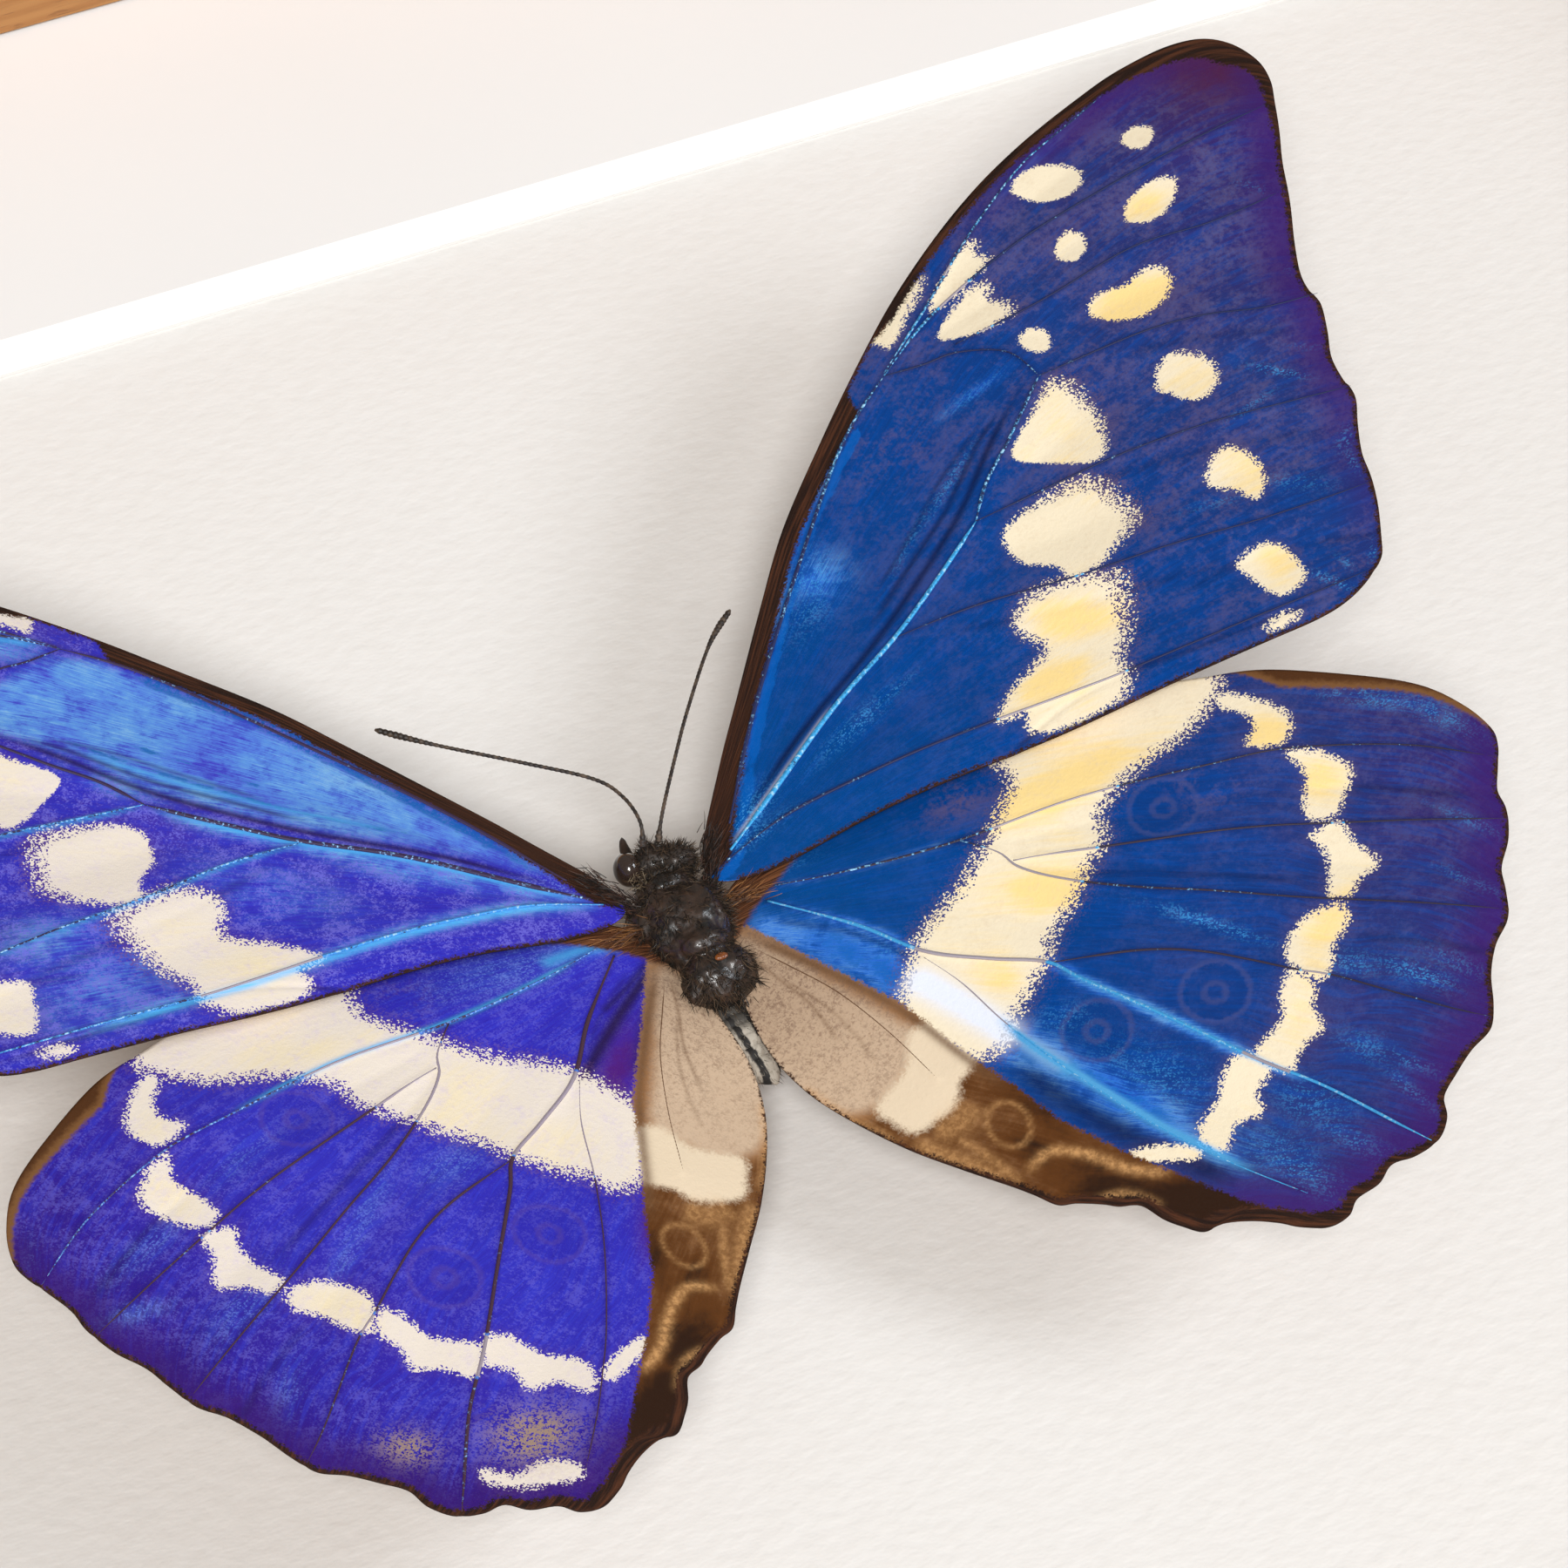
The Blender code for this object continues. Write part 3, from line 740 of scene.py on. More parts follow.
# Wings: thin double sheets of membrane under tiny overlapping scales, spread and dried flat.
# One template serves both sides. The hindwing is set first and the forewing overlaps it.
def gap_to(points, line):
    """How far each point is from a line, and how far along the line it is met."""
    steps = np.linalg.norm(np.diff(line, axis=0), axis=1)
    run = np.concatenate([[0.0], np.cumsum(steps)]) / steps.sum()
    best = np.full(len(points), 1e9)
    share = np.zeros(len(points))
    for k in range(len(line) - 1):
        step = line[k + 1] - line[k]
        part = np.clip(((points - line[k]) @ step) / max(step @ step, 1e-12), 0.0, 1.0)
        gap = np.linalg.norm(points - line[k] - part[:, None] * step, axis=1)
        closer = gap < best
        best = np.where(closer, gap, best)
        share = np.where(closer, run[k] + part * (run[k + 1] - run[k]), share)
    return best, share


def depth_in(points, outline):
    """How deep each point lies inside a closed outline, less than nothing outside it."""
    ring = np.vstack([outline, outline[:1]])
    gap, _ = gap_to(points, ring)
    inside = np.zeros(len(points), bool)
    for (x1, y1), (x2, y2) in zip(ring[:-1], ring[1:]):
        if y1 == y2:
            continue
        spans = (points[:, 1] < y1) != (points[:, 1] < y2)
        at = x1 + (points[:, 1] - y1) * (x2 - x1) / (y2 - y1)
        inside ^= spans & (points[:, 0] < at)
    return np.where(inside, gap, -gap)


def marks_depth(points, marks):
    """Depth in the nearest of several marks, and how loosely its edge is scaled there."""
    depth = np.full(len(points), -60.0)
    loose = np.full(len(points), 0.2)
    for near, far, corners in marks:
        outline = smooth_line(corners, 6, closed=True)
        here = depth_in(points, outline)
        middle = outline.mean(0)
        outward = (points - middle) @ np.array([0.94, 0.34])
        reach = np.abs((outline - middle) @ np.array([0.94, 0.34])).max()
        lean = np.clip(0.5 + 0.5 * outward / reach, 0.0, 1.0)
        closer = here > depth
        depth = np.where(closer, here, depth)
        loose = np.where(closer, near + (far - near) * lean**2, loose)
    return depth, loose


def soft_spots(points, spots):
    """Soft patches, each (u, v, half length, half width, turn in degrees, strength)."""
    total = np.zeros(len(points))
    for u, v, long, wide, turn, strength in spots:
        angle = math.radians(turn)
        x = (points[:, 0] - u) * math.cos(angle) + (points[:, 1] - v) * math.sin(angle)
        y = (points[:, 1] - v) * math.cos(angle) - (points[:, 0] - u) * math.sin(angle)
        total = np.maximum(total, strength * np.exp(-((x / long) ** 2) - (y / wide) ** 2))
    return total


def soft_lines(points, lines):
    """Soft lines, each (half width, strength, route)."""
    total = np.zeros(len(points))
    for wide, strength, route in lines:
        gap, share = gap_to(points, smooth_line(route, 6))
        fade = np.clip(np.minimum(share, 1.0 - share) * 8.0, 0.0, 1.0)
        total = np.maximum(total, strength * fade * np.exp(-((gap / wide) ** 2)))
    return total


def wing_places(edges, long_count, wide_count):
    """Flat places over a wing from its four smooth edges, rows along the wing."""
    root, front, margin, inner = edges
    s = np.linspace(0.0, 1.0, long_count + 1)
    t = np.linspace(0.0, 1.0, wide_count + 1)
    low, high = along(inner, s), along(front, s)
    start, end = along(root, t), along(margin, t)
    s, t = s[:, None, None], t[None, :, None]
    ruled = (1.0 - t) * low[:, None] + t * high[:, None]
    across = (1.0 - s) * start[None] + s * end[None]
    corners = (1.0 - s) * ((1.0 - t) * low[0] + t * high[0]) + s * ((1.0 - t) * low[-1] + t * high[-1])
    return (ruled + across - corners).reshape(-1, 2)


def split_loop(corners, cuts, steps=8):
    """A smooth closed outline, cut at four of its corners."""
    loop = smooth_line(corners, steps, closed=True)
    loop = np.vstack([loop, loop[:1]])
    ends = [cut * steps for cut in cuts] + [len(loop) - 1]
    return [loop[a : b + 1] for a, b in zip(ends[:-1], ends[1:])]


SHEET = 0.10
VEIN_STEP = 0.35
VEIN_SUNK = 0.02
OVER_CREAM = 2.0
OVER_BARE = 3.0
ALONG_SIGHT = np.array([0.356, 0.781, -1.0])


def lay_wing(name, shape, side, marks):
    """A wing's double sheet: a grid laid over the flat places, raised, tilted and doubled."""
    clear_choice()
    long_count, wide_count = shape["counts"]
    bpy.ops.mesh.primitive_grid_add(x_subdivisions=long_count, y_subdivisions=wide_count, size=1.0)
    wing = bpy.context.object
    wing.name = name
    wing.data.name = name
    wing.data.uv_layers[0].name = "rays"
    grid = np.zeros(len(wing.data.vertices) * 3, np.float32)
    wing.data.vertices.foreach_get("co", grid)
    grid = grid.reshape(-1, 3)
    row = np.rint((grid[:, 0] + 0.5) * long_count).astype(int)
    column = np.rint((grid[:, 1] + 0.5) * wide_count).astype(int)
    order = row * (wide_count + 1) + column
    tilt = shape["tilt"]
    flat = shape["places"][order]
    up = shape["lift"] + flat[:, 0] * math.sin(tilt) + shape["height"][order]
    laid = np.stack([side * flat[:, 0] * math.cos(tilt), flat[:, 1], up], 1)
    laid = laid + shape["drop_of"](flat)[:, None] * ALONG_SIGHT
    wing.data.vertices.foreach_set("co", laid.astype(np.float32).ravel())
    for label, values in marks.items():
        held = wing.data.attributes.new(label, "FLOAT", "POINT")
        held.data.foreach_set("value", values[order].astype(np.float32))
    wing.data.update()
    if sum(face.normal.z * face.area for face in wing.data.polygons) < 0.0:
        bpy.ops.object.mode_set(mode="EDIT")
        bpy.ops.mesh.select_all(action="SELECT")
        bpy.ops.mesh.flip_normals()
        bpy.ops.object.mode_set(mode="OBJECT")
    bpy.ops.object.shade_smooth()
    double = wing.modifiers.new("double", "SOLIDIFY")
    double.thickness = SHEET
    double.offset = -1.0
    double.material_offset = 1
    double.material_offset_rim = 1
    return wing


def double_up(wing, upper, under):
    wing.data.materials.append(upper)
    wing.data.materials.append(under)
    clear_choice()
    wing.select_set(True)
    bpy.context.view_layer.objects.active = wing
    bpy.ops.object.modifier_apply(modifier="double")


def ripple(points, seed):
    """The slight cockle of a dried wing."""
    spots = [Vector((u * 0.09, v * 0.09, seed)) for u, v in points]
    return np.array([noise.noise(spot) for spot in spots])


def wing_height(points, veins, creases, seed):
    """Ribs stand up at the veins, and the membrane sags between them."""
    ribs = np.min([gap_to(points, line)[0] for line in veins], axis=0)
    folds = soft_lines(points, creases)
    sag = 0.30 * (1.0 - np.exp(-((ribs / 2.6) ** 2)))
    bead = 0.09 * np.exp(-((ribs / 0.22) ** 2))
    return bead - sag - 0.14 * folds + 0.35 * ripple(points, seed), ribs, folds


def raise_veins(name, shape, side, vein_glints, thick):
    """The veins of one wing as fine tapered tubes, half sunk in the upper sheet."""
    routes = shape["veins"]
    all_lines = [smooth_line(route, 6) for route in routes.values()]
    tilt = shape["tilt"]
    threads = []
    for label, route in routes.items():
        line = smooth_line(route, 6)
        reach = np.linalg.norm(np.diff(line, axis=0), axis=1).sum()
        shares = np.linspace(0.0, 1.0, max(int(reach / VEIN_STEP), 8))
        line = along(line, shares)
        height, _, _ = wing_height(line, all_lines, shape["creases"], shape["seed"])
        up = shape["lift"] + line[:, 0] * math.sin(tilt) + height - VEIN_SUNK
        path = np.stack([side * line[:, 0] * math.cos(tilt), line[:, 1], up], 1)
        path = path + shape["drop_of"](line)[:, None] * ALONG_SIGHT
        start, end = thick.get(label, thick["other"])
        radii = start + (end - start) * shares
        radii = radii * np.clip((1.02 - shares) * 12.0, 0.25, 1.0) * np.clip(shares * 8.0, 0.5, 1.0)
        # Painted glint strength along the vein; over cream and bare brown the value picks the vein's own
        # tints there instead.
        first, last = vein_glints[label]
        depth, _ = marks_depth(line, shape["marks"])
        flash = np.where(depth > 0.0, OVER_CREAM, first + (last - first) * shares)
        if "bare" in shape:
            flash = np.where(depth_in(line, shape["bare"]) > 0.0, OVER_BARE, flash)
        threads.append((path, radii, flash))
    return draw_out(name, threads, 8, 0.7)


def vein_finish(name, dark, bright, glint_highlight):
    """Dark ribs with painted glints in short beads along them, and their own tint over cream and over
    bare brown.
    """
    rib = Finish(name)
    gleam = rib.mark("gleam")
    beads = rib.cloud(rib.place((4.4, 4.4, 4.4)), 1.0, 2.0, 0.6)
    long = rib.cloud(rib.place((0.3, 0.3, 0.3)), 1.0, 2.0)
    flash = rib.rise(beads * 1.5 + gleam * 0.75 + (long - 0.5) * 0.5, 1.0, 1.4)
    tone = rib.blend(flash, dark, bright)
    tone = rib.blend(flash * rib.rise(beads, 0.52, 0.68) * 0.8, tone, glint_highlight)
    tone = rib.blend(rib.rise(gleam, 1.3, 1.8) * 0.9, tone, dye(176, 158, 160))
    tone = rib.blend(rib.rise(gleam, 2.3, 2.8), tone, dye(116, 84, 60))
    return rib.surface(
        Base_Color=tone,
        Metallic=flash * 0.3,
        Roughness=0.42 + beads * 0.2,
        Specular_IOR_Level=0.3,
    )


def blue_scales(name, hue_and_sheen, hind):
    """The upper side: blue mirror scales over brown ones, cream marks, dark edges, with painted sheen,
    glints, highlights and crease shade.
    """
    wing = Finish(name)
    streak = wing.cloud(wing.rays(13.0, 110.0), 1.0, 3.0, 0.65)
    brush = wing.cloud(wing.rays(34.0, 300.0), 1.0, 2.0, 0.6)
    drift = wing.cloud(wing.place((0.16, 0.16, 0.16)), 1.0, 2.0, 0.6)
    mottle = wing.cloud(wing.place((0.62, 0.62, 0.62)), 1.0, 4.0, 0.72)
    grain = wing.cloud(wing.place((2.8, 2.8, 2.8)), 1.0, 2.0, 0.7)
    fleck = wing.flecks(wing.place((10.0, 10.0, 10.0)))
    reach = wing.mark("reach") + (drift - 0.5) * 0.35
    tone = wing.ramp(reach, *hue_and_sheen["base"])
    tone = wing.blend(wing.rise(streak, 0.44, 0.64) * 0.4, tone, hue_and_sheen["bright"])
    tone = wing.blend(wing.rise(brush, 0.5, 0.72) * 0.28, tone, hue_and_sheen["deep"])
    dusk = wing.rise(mottle * 0.8 + grain * 0.5 + drift * 0.5, 0.80, 1.10)
    tone = wing.blend(dusk * wing.mark("dusk"), tone, hue_and_sheen["dusk"])
    spray = wing.rise(streak * 0.6 + brush * 0.4 + (mottle - 0.5), 0.3, 0.62)
    # Painted sheen: a light-blue painted reflection laid over the blue where the mirror scales face the
    # light.
    glow = wing.mark("glow") * (spray + 0.6)
    painted_sheen_tone = wing.ramp(drift * 0.4 + brush * 0.35 + mottle * 0.25, *hue_and_sheen["glow"])
    tone = wing.blend(wing.least(glow, 1.0), tone, painted_sheen_tone)
    teal = wing.rise(wing.mark("teal") + (brush - 0.5) * 0.9 + (mottle - 0.5) * 1.3, 0.42, 0.66)
    tone = wing.blend(teal * 0.8, tone, hue_and_sheen["teal"])
    # Painted glints: lighter blue speckles where single scales catch the light.
    glint = wing.rise(fleck * 0.4 + grain * 0.5 + mottle * 1.5, 1.14, 1.5) * wing.mark("glint")
    tone = wing.blend(glint, tone, hue_and_sheen["glint"])
    near = 1.0 - wing.rise(wing.mark("vein"), 0.05, 0.4)
    tone = wing.blend(near * 0.45, tone, hue_and_sheen["deep"])
    if hind:
        eye = wing.mark("eye") + (grain - 0.5) * 0.45
        ring = wing.rise(eye, 1.8, 2.05) * (1.0 - wing.rise(eye, 2.1, 2.4))
        inner = wing.rise(eye, 0.35, 0.6) * (1.0 - wing.rise(eye, 0.7, 1.0))
        pupil = (1.0 - wing.rise(eye, 1.7, 2.1)) * 0.35
        tone = wing.blend(pupil, tone, hue_and_sheen["pupil"])
        tone = wing.blend(wing.most(ring, inner) * 0.42, tone, hue_and_sheen["ring"])
    # Painted sparkle: bright cyan specks along the glint streaks.
    spark = wing.mark("spark") * wing.rise(fleck + (brush - 0.5) * 1.4 + (mottle - 0.5), 0.62, 0.86)
    tone = wing.blend(spark, tone, hue_and_sheen["spark"])
    violet = wing.rise(wing.mark("rim") + (mottle - 0.5) * 2.0, -3.4, -0.2) * wing.mark("far")
    tone = wing.blend(violet * 0.8, tone, hue_and_sheen["violet"])
    tone = wing.blend(wing.mark("plum") * (0.5 + mottle), tone, hue_and_sheen["plum"])
    # Painted shade in the membrane's creases; on the hindwings this mark also carries the dark stripes
    # near the root, which are the wing's own colour.
    tone = wing.blend(wing.mark("crease") * 0.85, tone, hue_and_sheen["crease"])
    pale = wing.mark("pale")
    loose = wing.mark("loose")
    ragged = (fleck - 0.5) * 2.3 * loose + (grain - 0.5) * 0.22 + (mottle - 0.5) * 0.35 * loose
    halo = wing.rise(pale + ragged * 0.8 + loose * 0.5, -0.9, 0.2) * loose
    tone = wing.blend(halo * 0.75, tone, hue_and_sheen["halo"])
    cream_share = wing.rise(pale + ragged, -0.06, 0.08)
    honey = wing.rise(streak * 0.45 + drift * 0.75 + wing.mark("honey") * 0.5, 0.62, 1.0)
    cream = wing.blend(honey, hue_and_sheen["cream"], hue_and_sheen["honey"])
    cream = wing.blend(wing.rise(grain * 0.5 + mottle * 0.6, 0.52, 0.78) * 0.4, cream, hue_and_sheen["cream_dust"])
    tone = wing.blend(cream_share, tone, cream)
    # Painted highlights: white and pale blue streaks along veins and folds.
    tone = wing.blend(wing.least(wing.mark("white") * (0.5 + 1.0 * streak), 1.0), tone, hue_and_sheen["white"])
    if hind:
        # More painted highlight: pale blue lines along the right hindwing's veins.
        tone = wing.blend(wing.least(wing.mark("sky") * (0.6 + 0.8 * streak), 1.0), tone, hue_and_sheen["sky"])
        tan = wing.ramp(
            wing.rise(wing.mark("panel") + (mottle - 0.5) * 1.1, -0.6, 0.6),
            (0.0, dye(158, 112, 72)),
            (1.0, dye(206, 178, 150)),
        )
        tan = wing.blend(wing.rise(grain, 0.5, 0.72) * 0.35, tan, dye(178, 146, 118))
        dark_bark = wing.mark("umber") + (mottle - 0.5) * 0.6 + (streak - 0.5) * 0.4
        # The inner panel turns darker and more speckled towards the wing root.
        dust = wing.rise(fleck * 0.3 + grain * 0.6 + mottle * 0.6, 0.66, 1.0) * wing.mark("dusty")
        tan = wing.blend(wing.rise(wing.mark("dusty"), 0.45, 1.0) * 0.45, tan, dye(142, 114, 92))
        tan = wing.blend(dust * 0.7, tan, dye(120, 94, 78))
        bark = wing.blend(wing.rise(dark_bark, 0.2, 0.8), tan, dye(94, 54, 20))
        bark = wing.blend(wing.rise(dark_bark, 0.75, 1.2), bark, dye(46, 24, 10))
        patch = wing.rise(wing.mark("patch") + (fleck - 0.5) * 0.2 + (grain - 0.5) * 0.6, -0.3, 0.45)
        bark = wing.blend(patch, bark, dye(230, 209, 180))
        lines = wing.mark("tawny") * (0.6 + 0.8 * wing.rise(grain, 0.35, 0.7))
        bark = wing.blend(wing.least(lines, 1.0), bark, dye(208, 156, 100))
        seam = wing.mark("seam") * (0.7 + 0.5 * mottle)
        bark = wing.blend(wing.least(seam, 1.0), bark, dye(104, 72, 46))
        in_bark = wing.rise(wing.mark("bark") + (fleck - 0.5) * 0.25 + (grain - 0.5) * 0.4, -0.12, 0.12)
        tone = wing.blend(in_bark, tone, bark)
        hinge = wing.blend(wing.rise(streak, 0.4, 0.66), dye(66, 38, 26), dye(142, 90, 58))
        basal = wing.rise(wing.mark("basal") + (grain - 0.5) * 0.5, -0.25, 0.3)
        tone = wing.blend(basal, tone, hinge)
        worn = wing.mark("worn") * wing.rise(fleck * 0.5 + grain * 0.8 + mottle * 0.5, 0.72, 0.98)
        tone = wing.blend(worn, tone, dye(182, 154, 138))
        soft_edge = wing.mark("costal") + (grain - 0.5) * 0.5
        tone = wing.blend(wing.rise(soft_edge, -0.15, 0.25), tone, dye(142, 98, 60))
        tone = wing.blend(wing.rise(soft_edge, 0.25, 0.8) * 0.85, tone, dye(84, 48, 26))
    edge = wing.mark("rim") + (grain - 0.5) * 0.5 + (fleck - 0.5) * 0.3
    edge_share = wing.rise(edge, -0.14, 0.14)
    dark = wing.blend(wing.rise(streak, 0.4, 0.7), dye(38, 22, 16), dye(84, 48, 30))
    tone = wing.blend(edge_share, tone, dark)
    dull = wing.most(cream_share, edge_share)
    if hind:
        dull = wing.most(dull, in_bark)
    return wing.surface(
        Base_Color=tone,
        Metallic=(1.0 - dull) * 0.35,
        Roughness=0.40 + dull * 0.4 + (grain - 0.5) * 0.2,
        Specular_IOR_Level=0.12,
        Normal=wing.relief(grain, 0.05, 0.6),
    )


def under_scales(name, hind):
    """The under side: brown with cream bands, and round eyespots on the hindwing."""
    wing = Finish(name)
    mottle = wing.cloud(wing.place((0.5, 0.5, 0.5)), 1.0, 5.0, 0.6, 0.5)
    grain = wing.cloud(wing.place((2.6, 2.6, 2.6)), 1.0, 3.0, 0.65)
    brown = wing.blend(wing.rise(mottle, 0.35, 0.7), dye(88, 58, 38), dye(128, 92, 64))
    pale = wing.rise(wing.mark("pale") + (grain - 0.5) * 0.8, -0.2, 0.3)
    tone = wing.blend(pale, brown, dye(228, 208, 178))
    if hind:
        eye = wing.mark("eye") + (grain - 0.5) * 0.2
        gold = wing.rise(eye, 1.5, 1.7) * (1.0 - wing.rise(eye, 2.2, 2.4))
        tone = wing.blend(1.0 - wing.rise(eye, 1.5, 1.7), tone, dye(26, 18, 14))
        tone = wing.blend(gold, tone, dye(204, 158, 74))
        tone = wing.blend(1.0 - wing.rise(eye, 0.3, 0.45), tone, dye(238, 232, 224))
    edge = wing.rise(wing.mark("rim") + (grain - 0.5) * 0.4, -0.2, 0.2)
    tone = wing.blend(edge, tone, dye(52, 32, 22))
    return wing.surface(
        Base_Color=tone,
        Roughness=0.7 + grain * 0.15,
        Specular_IOR_Level=0.2,
        Normal=wing.relief(grain, 0.04, 0.6),
    )


def spread_wing(kind, label, side, hue_and_sheen, shape, marks, vein_glints, thick, rib_tones_and_glints):
    """One whole wing: its double sheet, its scales and its veins, set on the pin."""
    hind = kind == "hindwing"
    slot = kind + "_" + label
    wing = lay_wing(kind + "_scaled_" + label, shape, side, marks)
    double_up(
        wing,
        blue_scales(kind + "_scales_" + label, hue_and_sheen, hind),
        under_scales(kind + "_under_" + label, hind),
    )
    set_on_pin(wing, slot, slot)
    veins = raise_veins(kind + "_veins_" + label, shape, side, vein_glints, thick)
    veins.data.materials.append(vein_finish(kind + "_ribs_" + label, *rib_tones_and_glints))
    set_on_pin(veins, slot)


# Both sides have the same scales. The right wings' blues are painted cyan and the left wings' violet: a
# painted reflection of the mirror scales at each side's slant. The cream, brown and dark edge colours
# are the wings' own.
RIGHT_HUE_AND_PAINTED_SHEEN = {
    "base": (
        (0.0, dye(0, 80, 152)),
        (0.35, dye(0, 74, 158)),
        (0.62, dye(16, 68, 150)),
        (0.82, dye(46, 62, 136)),
        (1.0, dye(62, 50, 126)),
    ),
    "bright": dye(0, 88, 194),
    "deep": dye(20, 40, 104),
    "dusk": dye(104, 92, 140),
    "plum": dye(92, 38, 78),
    "glow": ((0.36, dye(22, 80, 212)), (0.5, dye(58, 132, 242)), (0.64, dye(132, 194, 253))),
    "glint": dye(40, 110, 206),
    "teal": dye(0, 104, 204),
    "crease": dye(14, 18, 62),
    "ring": dye(86, 92, 150),
    "pupil": dye(8, 60, 138),
    "spark": dye(76, 176, 250),
    "violet": dye(72, 34, 124),
    "halo": dye(116, 90, 118),
    "cream": dye(246, 230, 200),
    "honey": dye(254, 222, 150),
    "cream_dust": dye(228, 206, 174),
    "white": dye(236, 240, 254),
    "sky": dye(96, 186, 248),
}
LEFT_HUE_AND_PAINTED_SHEEN = {
    "base": (
        (0.0, dye(60, 50, 208)),
        (0.35, dye(58, 50, 204)),
        (0.62, dye(60, 54, 204)),
        (0.82, dye(60, 44, 186)),
        (1.0, dye(56, 32, 160)),
    ),
    "bright": dye(66, 76, 236),
    "deep": dye(46, 28, 138),
    "dusk": dye(94, 58, 150),
    "plum": dye(90, 34, 140),
    "glow": (
        (0.38, dye(80, 76, 222)),
        (0.46, dye(94, 138, 246)),
        (0.53, dye(108, 172, 252)),
        (0.64, dye(158, 214, 255)),
    ),
    "glint": dye(128, 124, 246),
    "teal": dye(0, 104, 192),
    "crease": dye(42, 24, 50),
    "ring": dye(98, 76, 176),
    "pupil": dye(50, 42, 184),
    "spark": dye(116, 146, 252),
    "violet": dye(66, 28, 122),
    "halo": dye(116, 76, 134),
    "cream": dye(234, 221, 207),
    "honey": dye(240, 222, 184),
    "cream_dust": dye(208, 192, 224),
    "white": dye(84, 190, 255),
    "sky": dye(84, 190, 255),
}

# Hindwings: broad and scalloped, with a cream band, a chain of cream patches and faint rings.
# The inner part is brown and bare of blue, and folds down beside the abdomen.
HIND_TILT = math.radians(12.0)
HIND_LIFT = 0.3
HIND_COCKLE = 5.0
HIND_OUTLINE = (
    (1.7, 0.8), (5.8, 3.4), (14.0, 4.6), (22.0, 4.8), (29.0, 3.5), (34.9, 1.0), (38.9, -0.7),
    (43.2, -4.0), (46.3, -7.0), (47.8, -9.8), (48.3, -12.2), (48.0, -13.6), (47.2, -15.0),
    (46.4, -16.4), (46.1, -18.0), (45.2, -19.8), (43.9, -21.3), (43.2, -23.0), (42.3, -24.8),
    (40.8, -26.0), (39.6, -27.6), (38.6, -29.6), (37.6, -31.0), (36.0, -31.6), (34.6, -32.4),
    (33.2, -33.4), (32.6, -34.8), (31.4, -35.9), (29.8, -36.1), (28.4, -35.8), (27.2, -36.5),
    (25.6, -36.8), (24.6, -37.6), (23.2, -37.7), (21.8, -36.9), (20.9, -36.0), (19.6, -35.0),
    (18.2, -34.3), (17.0, -34.2), (16.1, -33.2), (15.4, -32.2), (14.7, -30.7), (13.6, -30.1),
    (12.9, -29.5), (11.6, -28.6), (10.6, -28.1), (9.8, -26.8), (8.8, -25.3), (6.9, -22.7),
    (4.9, -20.0), (3.1, -17.0), (1.7, -14.0), (0.9, -11.0), (0.7, -8.4), (0.9, -5.6), (1.2, -2.6),
)
front, margin, inner, root = split_loop(HIND_OUTLINE, (0, 10, 33, 55))
HIND_COUNTS = (190, 200)
hind_places = wing_places((root, front, margin[::-1], inner[::-1]), *HIND_COUNTS)
HIND_VEINS = {
    "front": ((6.0, 1.0), (10.0, -0.3), (17.0, -2.1), (25.0, -3.2), (32.3, -5.4), (37.3, -7.0),
              (43.0, -10.4), (47.4, -14.4)),
    "fork": ((17.2, -2.2), (18.8, -4.2), (19.4, -5.8), (21.3, -8.0), (25.0, -11.3), (29.0, -14.2),
             (32.3, -16.6), (35.0, -18.6), (40.0, -22.4), (42.6, -24.4)),
    "middle": ((19.3, -5.2), (22.0, -6.2), (27.7, -8.8), (32.3, -10.8), (35.3, -12.3),
               (40.0, -15.0), (45.8, -18.6)),
    "low": ((5.2, 0.2), (9.0, -4.3), (11.7, -8.2), (15.0, -10.8), (17.7, -12.8), (19.0, -15.3),
            (22.0, -20.3), (25.0, -25.3), (27.7, -29.3), (30.2, -34.2), (31.0, -35.8)),
    "branch": ((17.9, -13.0), (22.3, -15.0), (25.3, -16.9), (27.7, -19.0), (30.0, -21.3),
               (32.0, -23.2), (36.0, -28.2), (38.0, -30.4)),
    "fold": ((11.5, -8.6), (12.7, -11.5), (13.7, -15.6), (15.4, -20.7), (17.7, -26.0),
             (19.3, -29.0), (21.0, -31.9), (23.2, -35.2)),
    "anal": ((3.0, -2.4), (4.4, -5.0), (6.0, -8.2), (7.4, -12.4), (8.4, -16.6)),
}
HIND_CREASES = (
    (0.26, 0.45, ((4.6, -0.9), (8.4, -4.4), (11.3, -8.6))),
    (0.26, 0.45, ((20.0, -5.9), (24.0, -9.2), (29.0, -12.6), (34.2, -16.2))),
    (0.30, 0.4, ((36.6, -10.0), (40.6, -12.2), (45.0, -16.0))),
    (0.30, 0.4, ((34.0, -20.8), (38.0, -24.0), (40.6, -26.6))),
    (0.26, 0.35, ((7.0, 0.6), (12.0, -0.8), (18.0, -2.4), (23.0, -3.0))),
)
BARK_LINE = (
    (2.0, 1.6), (3.6, -0.9), (6.0, -5.4), (9.0, -10.7), (10.9, -16.0), (12.3, -19.7), (13.4, -23.0),
    (15.6, -27.0), (17.6, -30.0), (19.7, -33.3), (22.4, -36.6), (23.6, -40.0), (10.0, -42.0),
    (-6.0, -30.0), (-6.0, 0.0),
)
bark_line = np.array(BARK_LINE, float)
hind_lines = [smooth_line(route, 6) for route in HIND_VEINS.values()]
bark_depth = depth_in(hind_places, bark_line)


def hind_drop(points):
    """The inner part leans down towards the body."""
    depth = depth_in(points, bark_line)
    return 0.8 * (1.0 - np.exp(-np.maximum(depth, 0.0) / 3.0))


